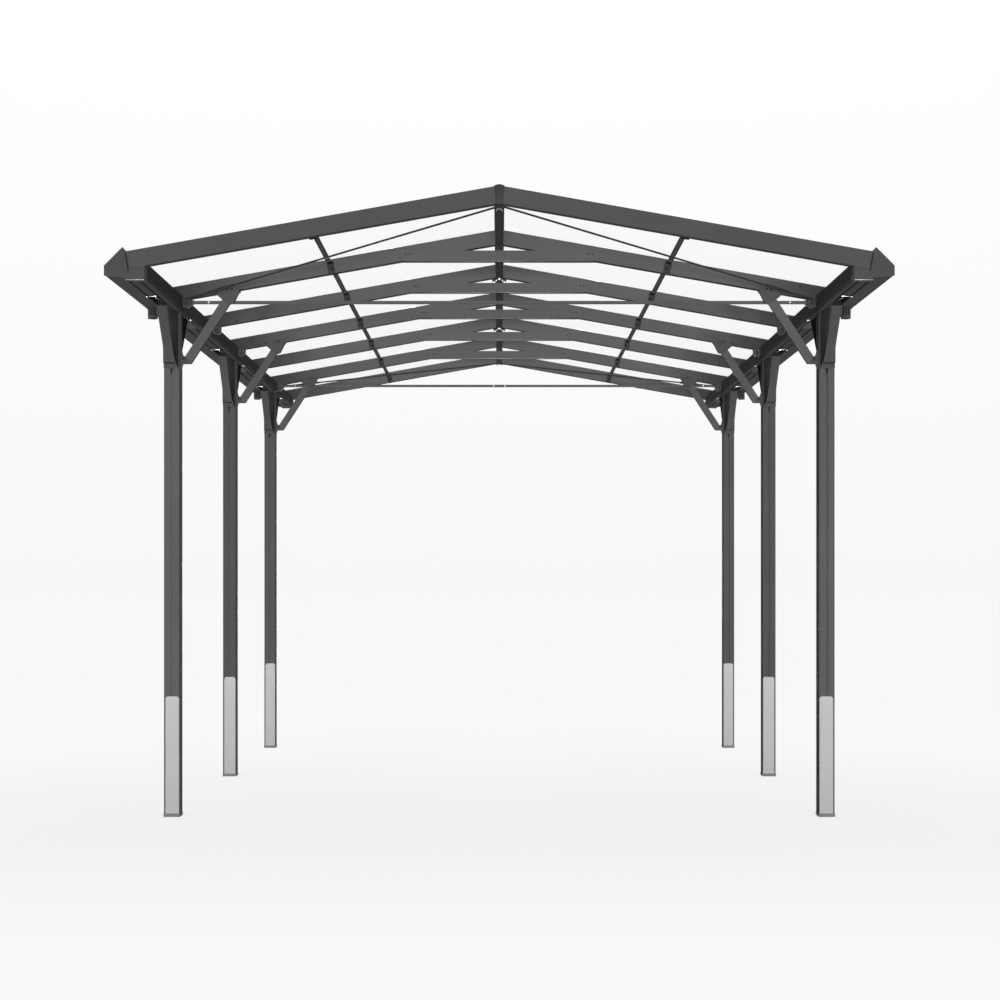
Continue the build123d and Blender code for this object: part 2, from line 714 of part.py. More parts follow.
# ---- Tie rods between the seats over the front and rear posts ------------------------------
for row in ("front", "rear"):
    rod_middle = Plane(origin=(0, post_rows[row] + tie_rod_side, tie_rod_height),
                       z_dir=(1, 0, 0))
    with BuildPart() as tie_rod:
        with BuildSketch(rod_middle):
            Circle(tie_rod_diameter / 2)
        extrude(amount=beam_x0 - seat_width, both=True)
    write(tie_rod, f"tie_rod_{row}")

# ---- Wind bracing: rods from under the ridge to the eave beams, front and rear -------------
wire_ridge_y = gable_y - rafter_width / 2 - wire_gable_gap
wire_eave_y = 2 * bay_length + rafter_width / 2 + wire_post_gap
wire_ridge_z = ridge_bottom - wire_drop - wire_diameter / 2
wire_eave_x = beam_x0 - lug_thickness - wire_diameter
wire_eave_z = beam_top - lug_depth
with BuildPart() as wind_brace:
    ridge_end = Vector(wire_diameter, -wire_ridge_y, wire_ridge_z)
    eave_end = Vector(wire_eave_x, -wire_eave_y, wire_eave_z)
    along = eave_end - ridge_end
    with BuildSketch(Plane(origin=ridge_end, z_dir=along)):
        Circle(wire_diameter / 2)
    extrude(amount=along.length)
for end, turned in (("front", False), ("rear", True)):
    with BuildPart() as wind_braces:
        add(wind_brace.part.mirror(Plane.XZ) if turned else wind_brace.part)
        mirror(about=Plane.YZ)
    write(wind_braces, f"wind_braces_{end}")

# ---- Wind brace lugs: under the ridge and on the eave beams --------------------------------
with BuildPart() as wind_brace_lugs:
    with BuildSketch(Plane(origin=(0, -wire_ridge_y, ridge_bottom), z_dir=(0, 0, -1))):
        Rectangle(ridge_width - 4 * ridge_groove, lug_width)
    extrude(amount=wire_drop)
    with BuildSketch(section(-wire_eave_y + lug_width / 2)):
        with Locations((beam_x0 - lug_thickness / 2, wire_eave_z),
                       (lug_thickness / 2 - beam_x0, wire_eave_z)):
            Rectangle(lug_thickness, lug_depth)
    extrude(amount=lug_width)
    mirror(about=Plane.XZ)
write(wind_brace_lugs, "wind_brace_lugs")

# ---- Purlins: strips under the panels, held by clips on the rafters' sides -----------------
purlin_z = panel_plane - slope * purlin_position
across = (cos(radians(roof_pitch)), 0, -sin(radians(roof_pitch)))
with BuildPart() as purlins:
    for first, last in zip(rafter_rows[:-1], rafter_rows[1:]):
        start_y = first + rafter_width / 2 + clip_plate
        stop_y = last - rafter_width / 2 - clip_plate
        seat = Plane(origin=(purlin_position, start_y, purlin_z), x_dir=across, z_dir=(0, 1, 0))
        with BuildSketch(seat):
            with Locations((0, purlin_thickness / 2)):
                Rectangle(purlin_width, purlin_thickness)
        extrude(amount=stop_y - start_y)
write_pair(purlins, "purlins")

with BuildPart() as purlin_clips:
    for number, y in enumerate(rafter_rows):
        for side in (-1, 1):
            if (number, side) in ((0, -1), (bay_count, 1)):
                continue
            face = Plane(origin=(purlin_position, y + side * rafter_width / 2, purlin_z),
                         x_dir=tuple(side * a for a in across), z_dir=(0, side, 0))
            with BuildSketch(face):
                with Locations((0, rafter_depth / 2)):
                    Rectangle(clip_width, rafter_depth)
            extrude(amount=clip_plate)
            with BuildSketch(face):
                with Locations((0, purlin_thickness + clip_depth / 2)):
                    Rectangle(purlin_width, clip_depth)
            extrude(amount=clip_depth)
write_pair(purlin_clips, "purlin_clips")

# ---- Ridge hangers: plates between the ridge joint and each collar tie ---------------------
hanger_top = rafter_rise - slope * rafter_x0
hanger_outer = hanger_tooth + hanger_tooth_width
tooth_root = hanger_tooth - hanger_tooth_width
gap_top = tie_top + hanger_arch
legged_half = [
    (0, gap_top + hanger_leg / 4),
    (hanger_width / 2 - hanger_leg, gap_top),
    (hanger_width / 2 - hanger_leg, tie_top),
    (hanger_width / 2, tie_top),
    (hanger_width / 2, gap_top),
    (tooth_root, gap_top),
    (hanger_tooth, tie_top + hanger_tooth_gap),
    (hanger_outer, rafter_rise - slope * hanger_outer),
    (rafter_x0, hanger_top),
    (0, hanger_top),
]
plain_half = [(0, tie_top), (hanger_width / 2, tie_top), (hanger_width / 2, hanger_top),
              (0, hanger_top)]
with BuildPart() as ridge_hangers:
    for number, y in enumerate(rafter_rows[1:-1]):
        with BuildSketch(section(y + hanger_plate / 2)):
            with BuildLine():
                Polyline(*(legged_half if number % 2 else plain_half), close=True)
            make_face()
            mirror(about=Plane.YZ)
        extrude(amount=hanger_plate)
write(ridge_hangers, "ridge_hangers")
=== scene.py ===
import math

import bmesh
import bpy
from mathutils import Matrix, Vector


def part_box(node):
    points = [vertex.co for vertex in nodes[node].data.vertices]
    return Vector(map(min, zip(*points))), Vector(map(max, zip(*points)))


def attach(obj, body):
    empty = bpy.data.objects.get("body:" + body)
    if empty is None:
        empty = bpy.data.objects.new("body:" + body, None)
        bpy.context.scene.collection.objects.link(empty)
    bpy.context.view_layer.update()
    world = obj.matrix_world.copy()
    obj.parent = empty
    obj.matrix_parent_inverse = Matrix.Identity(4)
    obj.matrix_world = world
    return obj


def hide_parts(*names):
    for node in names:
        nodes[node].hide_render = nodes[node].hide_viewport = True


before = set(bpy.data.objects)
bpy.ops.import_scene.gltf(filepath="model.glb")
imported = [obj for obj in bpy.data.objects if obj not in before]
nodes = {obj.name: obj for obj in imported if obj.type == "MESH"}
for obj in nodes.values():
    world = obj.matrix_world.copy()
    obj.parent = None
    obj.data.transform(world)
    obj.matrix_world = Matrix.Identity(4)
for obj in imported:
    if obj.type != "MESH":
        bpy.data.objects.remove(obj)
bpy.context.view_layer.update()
scene = bpy.context.scene

MM = 0.001


def mm(*values):
    return tuple(value * MM for value in values)


def at(*values):
    """Matrix that moves by millimetres."""
    return Matrix.Translation(mm(*values))


# ---- Node helpers --------------------------------------------------------------------------
class Shader:
    """A material's node tree, with short ways to add and link nodes."""

    def __init__(self, name):
        self.mat = bpy.data.materials.new(name)
        self.mat.use_nodes = True
        self.tree = self.mat.node_tree
        self.bsdf = self.tree.nodes["Principled BSDF"]
        self.coords = self.add("ShaderNodeTexCoord").outputs["Object"]

    def add(self, kind, **settings):
        node = self.tree.nodes.new(kind)
        for key, value in settings.items():
            setattr(node, key, value)
        return node

    def link(self, output, socket):
        self.tree.links.new(output, socket)

    def set(self, **sockets):
        for key, value in sockets.items():
            self.bsdf.inputs[key.replace("_", " ")].default_value = value

    def mapped(self, scale):
        node = self.add("ShaderNodeMapping")
        node.inputs["Scale"].default_value = scale
        self.link(self.coords, node.inputs["Vector"])
        return node.outputs["Vector"]

    def noise(self, scale, detail=2.0, rough=0.5, stretch=(1, 1, 1)):
        node = self.add("ShaderNodeTexNoise")
        node.inputs["Scale"].default_value = scale
        node.inputs["Detail"].default_value = detail
        node.inputs["Roughness"].default_value = rough
        self.link(self.mapped(stretch), node.inputs["Vector"])
        return node.outputs["Fac"]

    def ramp(self, fac, stops):
        node = self.add("ShaderNodeValToRGB")
        elements = node.color_ramp.elements
        while len(elements) < len(stops):
            elements.new(0.5)
        for element, (place, colour) in zip(elements, stops):
            element.position = place
            element.color = (*colour, 1.0) if len(colour) == 3 else colour
        self.link(fac, node.inputs["Fac"])
        return node.outputs["Color"]

    def span(self, value, low, high, from_low=0.0, from_high=1.0):
        node = self.add("ShaderNodeMapRange")
        for key, number in (("From Min", from_low), ("From Max", from_high),
                            ("To Min", low), ("To Max", high)):
            node.inputs[key].default_value = number
        self.link(value, node.inputs["Value"])
        return node.outputs["Result"]

    def math(self, operation, a, b=None):
        node = self.add("ShaderNodeMath", operation=operation)
        for socket, value in zip(node.inputs, (a, b)):
            if value is None:
                continue
            if isinstance(value, (int, float)):
                socket.default_value = value
            else:
                self.link(value, socket)
        return node.outputs["Value"]

    def mix(self, fac, a, b):
        node = self.add("ShaderNodeMix", data_type="RGBA")
        for key, value in ((0, fac), (6, a), (7, b)):
            if isinstance(value, (int, float)):
                node.inputs[key].default_value = value
            elif isinstance(value, tuple):
                node.inputs[key].default_value = (*value, 1.0)
            else:
                self.link(value, node.inputs[key])
        return node.outputs[2]

    def bump(self, height, strength, distance, after=None):
        node = self.add("ShaderNodeBump")
        node.inputs["Strength"].default_value = strength
        node.inputs["Distance"].default_value = distance
        self.link(height, node.inputs["Height"])
        if after is not None:
            self.link(after, node.inputs["Normal"])
        return node.outputs["Normal"]

    def part(self, vector, axis):
        """One coordinate of a vector."""
        node = self.add("ShaderNodeSeparateXYZ")
        self.link(vector, node.inputs["Vector"])
        return node.outputs[axis]

    def facing(self, axis):
        """One coordinate of the surface's normal."""
        return self.part(self.add("ShaderNodeNewGeometry").outputs["Normal"], axis)

    def colour(self, output):
        self.link(output, self.bsdf.inputs["Base Color"])

    def roughness(self, output):
        self.link(output, self.bsdf.inputs["Roughness"])

    def normal(self, output):
        self.link(output, self.bsdf.inputs["Normal"])


def scaled(colour, factor):
    return tuple(min(1.0, c * factor) for c in colour)


FACING = 0.7        # part of a normal along an axis from which a face counts as facing that way


def powder_coat(name, colour, along, rough=0.72, under=1.0, ends=None, side_shade=1.0):
    """Powder coat on an extruded profile: orange peel and faint die lines along one axis.

    Painted shade can change the tone on undersides, on faces across X, and between two distances from the
    middle.
    """
    s = Shader(name)
    lines = [140.0, 140.0, 140.0]
    lines[along] = 0.6
    clouds = s.noise(1.7, 3.0)
    die_lines = s.noise(1.0, 2.0, stretch=tuple(lines))
    tone = s.ramp(clouds, [(0.3, scaled(colour, 0.93)), (0.7, scaled(colour, 1.07))])
    tone = s.mix(s.span(die_lines, 0.0, 0.22, 0.35, 0.75), tone, scaled(colour, 1.25))
    # painted shade on undersides: the colour scaled by a factor
    if under != 1.0:
        below = s.math("LESS_THAN", s.facing("Z"), -FACING)
        tone = s.mix(below, tone, scaled(colour, under))
    # painted shade on faces across X: the colour scaled by a factor
    if side_shade != 1.0:
        sideways = s.math("GREATER_THAN", s.math("ABSOLUTE", s.facing("X")), FACING)
        tone = s.mix(sideways, tone, scaled(colour, side_shade))
    # painted shade towards the ends: the colour scaled by a factor between two distances from the middle
    if ends:
        start, stop, factor = ends
        out = s.span(s.math("ABSOLUTE", s.part(s.coords, "X")), 0.0, 1.0, start, stop)
        tone = s.mix(out, tone, scaled(colour, factor))
    s.colour(tone)
    peel = s.noise(620.0, 2.0, 0.6)
    s.roughness(s.span(peel, rough - 0.06, rough + 0.08))
    ridged = s.bump(die_lines, 0.10, 0.0004)
    s.normal(s.bump(peel, 0.12, 0.0003, after=ridged))
    s.set(Specular_IOR_Level=0.02)
    return s.mat


def moulding(name, colour, rough=0.7, grain=900.0, shine=0.08):
    """Fine-grained moulding or casting."""
    s = Shader(name)
    clouds = s.noise(4.0, 3.0)
    s.colour(s.ramp(clouds, [(0.3, scaled(colour, 0.92)), (0.7, scaled(colour, 1.08))]))
    fine = s.noise(grain, 3.0, 0.7)
    s.roughness(s.span(fine, rough - 0.08, rough + 0.08))
    s.normal(s.bump(fine, 0.22, 0.0003))
    s.set(Specular_IOR_Level=shine)
    return s.mat


def shaded_casting(name, stops):
    """Moulding with painted shade that changes with its height: stops of (height, grey)."""
    s = Shader(name)
    low, high = stops[0][0], stops[-1][0]
    height = s.span(s.part(s.coords, "Z"), 0.0, 1.0, low, high)
    s.colour(s.ramp(height, [((z - low) / (high - low), (level, level, level * 1.02))
                             for z, level in stops]))
    fine = s.noise(900.0, 3.0, 0.7)
    s.roughness(s.span(fine, 0.66, 0.82))
    s.normal(s.bump(fine, 0.22, 0.0003))
    s.set(Specular_IOR_Level=0.03)
    return s.mat


def bare_metal(name, colour, rough=0.3):
    """Zinc-plated steel: metallic, with a fine brushed and mottled surface."""
    s = Shader(name)
    spangle = s.noise(260.0, 3.0)
    s.colour(s.ramp(spangle, [(0.3, scaled(colour, 0.85)), (0.7, scaled(colour, 1.05))]))
    s.roughness(s.span(spangle, rough - 0.08, rough + 0.12))
    s.normal(s.bump(spangle, 0.1, 0.0002))
    s.set(Metallic=1.0)
    return s.mat


RIB_PITCH = 0.0106


def multiwall(name):
    """Clear twin-wall sheet: ribs down the slope show as denser lines."""
    s = Shader(name)
    cell = s.math("FRACT", s.math("MULTIPLY", s.part(s.coords, "Y"), 1.0 / RIB_PITCH))
    rib = s.math("LESS_THAN", s.math("ABSOLUTE", s.math("SUBTRACT", cell, 0.5)), 0.07)
    haze = s.noise(2.2, 3.0)
    s.colour(s.mix(rib, (0.93, 0.95, 0.96), (0.84, 0.88, 0.90)))
    s.roughness(s.span(haze, 0.12, 0.22))
    alpha = s.math("ADD", s.math("MULTIPLY", rib, 0.05), s.span(haze, 0.02, 0.035))
    s.link(alpha, s.bsdf.inputs["Alpha"])
    s.normal(s.bump(rib, 0.25, 0.0004))
    s.set(IOR=1.58)
    return s.mat


ANTHRACITE = (0.0836, 0.0864, 0.0886)
frame_x = powder_coat("powder_coat_x", ANTHRACITE, 0)
# inner rafters and collar ties: a lighter copy of the anthracite as painted light, with painted shade on
# undersides and towards the rafters' ends
inner_x = powder_coat("powder_coat_inner", scaled(ANTHRACITE, 1.05), 0, under=0.42,
                      ends=(1.2, 1.65, 0.5))
# gable rafters and the glazing gaskets: a darker copy of the anthracite, painted shade
gable_x = powder_coat("powder_coat_gable", scaled(ANTHRACITE, 0.83), 0)
# eave beams: painted shade on the faces across X
beam_y = powder_coat("powder_coat_beams", ANTHRACITE, 1, side_shade=0.90)
# ridge beam: painted shade on its underside
ridge_y = powder_coat("powder_coat_ridge", ANTHRACITE, 1, under=0.64)
frame_y = powder_coat("powder_coat_y", ANTHRACITE, 1)
frame_z = powder_coat("powder_coat_z", ANTHRACITE, 2)
# painted light and shade: the posts' coat is lighter in the front row and darker in the middle and rear
# rows
POST_LIGHT_AND_SHADE = {"front": 1.07, "middle": 0.84, "rear": 0.89}
# purlins: a lighter copy of the anthracite on the webs as painted light, a darker one on the flanges as
# painted shade
lit_web_coat = powder_coat("powder_coat_strips", scaled(ANTHRACITE, 1.45), 1)
shaded_flange_coat = powder_coat("powder_coat_flanges", scaled(ANTHRACITE, 0.55), 1)
clip_black = moulding("clip_black", scaled(ANTHRACITE, 0.38), 0.7, 900.0, 0.03)
seat_casting = moulding("seat_casting", scaled(ANTHRACITE, 0.42))
rod_paint = powder_coat("rod_paint", scaled(ANTHRACITE, 1.05), 0, 0.65)
steel_paint = powder_coat("painted_steel", scaled(ANTHRACITE, 0.36), 0, 0.55)
casting = moulding("casting_grey", scaled(ANTHRACITE, 0.73))
shoe_casting = moulding("shoe_casting", scaled(ANTHRACITE, 0.565))
cap_plastic = moulding("cap_grey", scaled(ANTHRACITE, 0.64), 0.6, 700.0)
ridge_plastic = moulding("ridge_cap_grey", scaled(ANTHRACITE, 0.35), 0.5, 700.0)
# bumpers: painted shade darkening the grey towards the floor
guard_plastic = shaded_casting("bumper_grey", [(0.03, 0.372), (0.25, 0.405), (0.45, 0.420),
                                                (0.55, 0.434), (0.62, 0.455)])
foot_plastic = moulding("foot_grey", (0.157, 0.159, 0.161), 0.6)
# near-black for real gaskets and buffers, and for the strips of painted shade in slots, grooves, flutes and
# corners
rubber = moulding("black_gaskets_and_shade", (0.009, 0.009, 0.0095), 0.85, 900.0, 0.01)
zinc = bare_metal("zinc_plated", (0.62, 0.63, 0.64))
# light metal for the beads that make the end caps' painted highlight
highlight_bead_metal = bare_metal("bead_highlight_metal", (0.33, 0.335, 0.34), 0.45)
screw_black = moulding("screw_black", (0.028, 0.028, 0.029), 0.45, 1400.0)
sheet_clear = multiwall("multiwall_clear")

BY_PREFIX = [
    ("post_guards", guard_plastic),
    ("post_feet", foot_plastic),
    ("post_head", casting),
    ("post_", frame_z),
    ("eave_beam", beam_y),
    ("channel_covers", frame_y),
    ("gutter_end_caps", cap_plastic),
    ("gutter_outlets", cap_plastic),
    ("gutter_", frame_y),
    ("rafter_seats", seat_casting),
    ("rafter_pair_1", gable_x),
    ("rafter_pair", inner_x),
    ("ridge_end_caps", ridge_plastic),
    ("ridge_hangers", steel_paint),
    ("ridge_", ridge_y),
    ("roof_panels", sheet_clear),
    ("cover_strips", frame_x),
    ("collar_ties", inner_x),
    ("knee_braces", frame_x),
    ("brace_feet", seat_casting),
    ("brace_", shoe_casting),
    ("tie_rod", rod_paint),
    ("wind_", steel_paint),
    ("purlin_clips", steel_paint),
    ("purlins", frame_y),
]
for name, obj in nodes.items():
    material = next(m for prefix, m in BY_PREFIX if name.startswith(prefix))
    obj.data.materials.clear()
    obj.data.materials.append(material)


# ---- Places taken from the frame -----------------------------------------------------------
PITCH = math.radians(10.0)
SLOPE = math.tan(PITCH)
ACROSS = Vector((math.cos(PITCH), 0.0, -math.sin(PITCH)))      # down the right-hand slope
UPRIGHT = Vector((math.sin(PITCH), 0.0, math.cos(PITCH)))      # square to it
FRONT = Vector((0.0, -1.0, 0.0))
DOWN = Vector((0.0, 0.0, -1.0))
SIDES = (("left", -1), ("right", 1))
BOTH = (-1, 1)
beam_low, beam_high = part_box("eave_beam_right")
foot_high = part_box("post_feet_right")[1]


def middle(node):
    low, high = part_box(node)
    return (low + high) / 2


rafter_rows = [middle(f"rafter_pair_{number}").y for number in range(1, 8)]
inner_rows = rafter_rows[1:-1]
post_rows = [middle(f"post_{row}_right").y for row in ("front", "middle", "rear")]
post_x = middle("post_front_right").x
post_half = (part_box("post_front_right")[1].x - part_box("post_front_right")[0].x) / 2
rafter_low, rafter_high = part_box("rafter_pair_2")
rafter_half = (rafter_high.y - rafter_low.y) / 2
crossing = rafter_low.z + SLOPE * beam_low.x        # where the rafters' undersides would cross


# ---- Mesh helpers --------------------------------------------------------------------------
def add_piece(name, bm, material, replaced=()):
    """Make an object of a bmesh that rides with the frame."""
    bmesh.ops.recalc_face_normals(bm, faces=bm.faces)
    mesh = bpy.data.meshes.new(name)
    bm.to_mesh(mesh)
    bm.free()
    mesh.materials.append(material)
    for polygon in mesh.polygons:
        polygon.use_smooth = True
    mesh.set_sharp_from_angle(angle=math.radians(34))
    obj = bpy.data.objects.new(name, mesh)
    scene.collection.objects.link(obj)
    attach(obj, "root")
    if replaced:
        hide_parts(*replaced)
    return obj


def facing(origin, normal):
    """Matrix with its z axis along a direction, at a point."""
    return Matrix.Translation(origin) @ Vector(normal).to_track_quat("Z", "Y").to_matrix().to_4x4()


def lathe(bm, place, profile, steps=20):
    """Turn a profile of (radius, height) points round the local z axis."""
    rings = []
    for radius, height in profile:
        turns = steps if radius > 0 else 1
        rings.append([bm.verts.new(place @ Vector((radius * math.cos(math.tau * i / steps),
                                                   radius * math.sin(math.tau * i / steps),
                                                   height))) for i in range(turns)])
    if profile[0][0] > 0:
        rings.append(rings[0])
    for ring, following in zip(rings, rings[1:]):
        for i in range(steps):
            j = (i + 1) % steps
            if len(ring) == 1:
                bm.faces.new((ring[0], following[i], following[j]))
            elif len(following) == 1:
                bm.faces.new((ring[i], ring[j], following[0]))
            else:
                bm.faces.new((ring[i], ring[j], following[j], following[i]))


def profile(radius, *points):
    """Profile of points in millimetres: past a radius, and along the axis."""
    return [(radius + out * MM, height * MM) for out, height in points]


def pan_screw(bm, origin, normal, radius):
    """Low domed screw head with a hexagon socket."""
    place = facing(origin, normal)
    tall = 0.55 * radius
    socket = [(0, 0.35 * tall), (0.40 * radius, 0.35 * tall), (0.42 * radius, 0.97 * tall)]
    dome = [(0.70 * radius, 0.86 * tall), (0.92 * radius, 0.52 * tall), (radius, 0.15 * tall),
            (radius, -0.2 * MM), (0, -0.2 * MM)]
    lathe(bm, place, socket + dome, 18)


def hex_bolt(bm, origin, normal, across):
    """Hexagon head with a turned chamfer on a flat washer."""
    place = facing(origin, normal)
    radius = across / math.sqrt(3)
    washer = 0.16 * across
    lathe(bm, place, [(0, washer), (0.92 * across, washer), (across, 0.8 * washer),
                      (across, -0.2 * MM), (0, -0.2 * MM)], 28)
    top = washer + 0.62 * across
    lathe(bm, place, [(0, top), (0.80 * radius, top), (radius, top - 0.12 * across),
                      (radius, washer), (0, washer)], 6)


def bar(bm, place, size, edge):
    """Block centred on a matrix or a point, its size along the local axes, its bevel in millimetres."""
    if isinstance(place, Vector):
        place = Matrix.Translation(place)
    made = bmesh.ops.create_cube(bm, size=1.0, matrix=place @ Matrix.Diagonal((*size, 1.0)))
    edges = list({e for v in made["verts"] for e in v.link_edges})
    bmesh.ops.bevel(bm, geom=edges, offset=edge * MM, segments=2, profile=0.5, affect="EDGES")


def loft(bm, sections):
    """Closed skin over rings of points that have equal counts."""
    rings = [[bm.verts.new(point) for point in section] for section in sections]
    count = len(rings[0])
    for ring, following in zip(rings, rings[1:]):
        for i in range(count):
            j = (i + 1) % count
            bm.faces.new((ring[i], ring[j], following[j], following[i]))
    bm.faces.new(rings[0])
    bm.faces.new(rings[-1])


def extruded(bm, outline, axis, start, stop):
    """Closed prism of a flat outline, along the axis that the outline's two coordinates leave."""
    order = {"x": lambda u, v, w: (w, u, v), "y": lambda u, v, w: (u, w, v), "z": lambda u, v, w: (u, v, w)}
    loft(bm, [[order[axis](u, v, place) for u, v in outline] for place in (start, stop)])


def rounded(corners, steps=6):
    """Outline with a rounded corner at each (x, y, radius)."""
    outline = []
    for i, (x, y, radius) in enumerate(corners):
        here = Vector((x, y))
        before = Vector(corners[i - 1][:2]) - here
        after = Vector(corners[(i + 1) % len(corners)][:2]) - here
        if radius == 0:
            outline.append((x, y))
            continue
        turn = before.angle(after) / 2
        run = min(radius / math.tan(turn), 0.48 * before.length, 0.48 * after.length)
        start = here + before.normalized() * run
        stop = here + after.normalized() * run
        for step in range(steps + 1):
            t = step / steps
            point = start * (1 - t) ** 2 + here * 2 * t * (1 - t) + stop * t ** 2
            outline.append((point.x, point.y))
    return outline


# ---- Castings and mouldings: the frame's shapes with rounded edges -------------------------
def node_mesh(node):
    """A copy of a node's mesh, with its flat faces whole."""
    bm = bmesh.new()
    bm.from_mesh(nodes[node].data)
    bmesh.ops.remove_doubles(bm, verts=bm.verts, dist=0.02 * MM)
    bmesh.ops.dissolve_limit(bm, angle_limit=math.radians(1.0), verts=bm.verts, edges=bm.edges)
    return bm


def round_edges(bm, radius, segments):
    """Bevel the edges between faces that meet at an angle."""
    sharp = [e for e in bm.edges if len(e.link_faces) == 2
             and e.calc_face_angle(0.0) > math.radians(28)]
    bmesh.ops.bevel(bm, geom=sharp, offset=radius, segments=segments, profile=0.5,
                    affect="EDGES", clamp_overlap=True)


def soften(node, radius, material, segments=2):
    """A copy of a node with its sharp edges rounded, in its place."""
    bm = node_mesh(node)
    round_edges(bm, radius, segments)
    add_piece(f"soft_{node}", bm, material, [node])


for side in ("left", "right"):
    soften(f"brace_shoes_{side}", 1.0 * MM, casting)
    soften(f"brace_feet_{side}", 0.8 * MM, casting)
    soften(f"rafter_seats_{side}", 1.5 * MM, casting)
    soften(f"post_feet_{side}", 1.2 * MM, foot_plastic)
soften("ridge_end_caps", 1.5 * MM, ridge_plastic, 3)
soften("ridge_hangers", 0.8 * MM, steel_paint)
soften("collar_ties", 0.7 * MM, inner_x)


# ---- Posts and bumpers ---------------------------------------------------------------------
GROOVE_WIDTH = 8 * MM
GROOVE_DEPTH = 9 * MM
GUARD_INSET = 4.5 * MM      # how far the bumpers' sides stand in from the posts'


def add_post(row, side):
    """Extruded post with rounded corners and a groove down the middle of each face."""
    node = f"post_{row}_{side}"
    low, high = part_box(node)
    half = (high.x - low.x) / 2
    centre = (low + high) / 2
    groove = GROOVE_WIDTH / 2
    floor = half - GROOVE_DEPTH
    outline = []
    for quarter in range(4):
        face = rounded([(half, -groove, 0.8 * MM), (floor, -groove, 0), (floor, groove, 0),
                        (half, groove, 0.8 * MM), (half, half, 7 * MM), (-half, half, 0)], 6)[:-1]
        turn = math.radians(90 * quarter)
        for u, v in face:
            outline.append((centre.x + u * math.cos(turn) - v * math.sin(turn),
                            centre.y + u * math.sin(turn) + v * math.cos(turn)))
    bm = bmesh.new()
    extruded(bm, outline, "z", low.z, high.z)
    # each row's coat is a lighter or darker copy of the anthracite: painted light and shade
    coat = powder_coat(f"coat_{node}", scaled(ANTHRACITE, POST_LIGHT_AND_SHADE[row]), 2)
    add_piece(f"rounded_{node}", bm, coat, [node])


def add_guards(side):
    """Bumpers with a rounded rim and a slightly sunk middle."""
    node = f"post_guards_{side}"
    low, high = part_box(node)
    half = (high.x - low.x) / 2 - GUARD_INSET
    x = (high.x + low.x) / 2 - (GUARD_INSET if side == "right" else -GUARD_INSET)
    base = (low.y - post_rows[0]) + 8 * MM
    rim = profile(0, (0, 0), (0, 1.5), (0.8, 4.2), (2.6, 6.5), (5, 7.7), (7.5, 8), (9.5, 7.7), (11.5, 7.0),
                  (13, 6.8))
    bm = bmesh.new()
    for row in post_rows:
        sections = []
        for inset, proud in rim:
            side_x = half - inset
            tip = max(20 * MM - inset, 2 * MM)
            outline = rounded([(-side_x, low.z + inset, 2 * MM), (side_x, low.z + inset, 2 * MM),
                               (side_x, high.z - inset, tip), (-side_x, high.z - inset, tip)], 8)
            sections.append([(x + u, row + base - proud, v) for u, v in outline])
        loft(bm, sections)
    add_piece(f"bumpers_{side}", bm, guard_plastic, [node])


for side in ("left", "right"):
    for row in ("front", "middle", "rear"):
        add_post(row, side)
    add_guards(side)


# ---- Post head brackets --------------------------------------------------------------------
COLLAR = 29 * MM            # height of the collar under the corbel
STRAIGHT = 79 * MM          # height of the corbel's straight lower part
LIP = 22 * MM               # how far the straight part stands off the post
REACH = 170 * MM            # how far the top stands off the post
BLEND = 12 * MM             # softness of the bend between the two
HOOK_X = 1680.7 * MM        # middle of the hooks
bracket_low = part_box("post_head_brackets_right")[0].z + COLLAR
bracket_x1 = post_x + post_half


def corbel_reach(z):
    """How far the corbel stands off the post at a height: straight, then flaring out."""
    rise = z - bracket_low - STRAIGHT
    flare = (REACH - LIP) / (beam_low.z - bracket_low - STRAIGHT)
    return LIP + flare * (rise + math.hypot(rise, BLEND)) / 2 - 0.2 * MM


def between(table, at):
    """Straight-line reading of a table of (position, value) pairs."""
    for (low, first), (high, last) in zip(table, table[1:]):
        if at <= high:
            share = max(0.0, (at - low) / (high - low))
            return first + share * (last - first)
    return table[-1][1]


# the corbel's front-inner corner: rise over the collar, distance from the carport's middle (mm)
CORNER = [(0, 1653), (28, 1661), (60, 1665), (100, 1668), (142, 1669), (200, 1666), (263, 1665)]


def corbel_corner(z):
    """Distance of the front-inner corner from the carport's middle at a height."""
    return between(CORNER, (z - bracket_low) / MM) * MM


def corbel_section(side, row, z):
    """Level section through a front corbel."""
    reach = corbel_reach(z)
    face = row - post_half
    outline = rounded([(bracket_x1, 0, 0), (bracket_x1 - 1 * MM, reach, 3 * MM),
                       (corbel_corner(z), reach, 8 * MM), (post_x - post_half + 4 * MM, 0, 0)])
    return [(side * u, face - v, z) for u, v in outline]


def rear_part(bm):
    """Leave only the brackets behind the posts in a copy of the node's mesh."""
    seen = set()
    for start in list(bm.verts):
        if start in seen:
            continue
        island = {start}
        stack = [start]
        while stack:
            for edge in stack.pop().link_edges:
                for vert in edge.verts:
                    if vert not in island:
                        island.add(vert)
                        stack.append(vert)
        seen |= island
        y = sum(v.co.y for v in island) / len(island)
        if min((row - y for row in post_rows), key=abs) > 0:
            bmesh.ops.delete(bm, geom=list(island), context="VERTS")


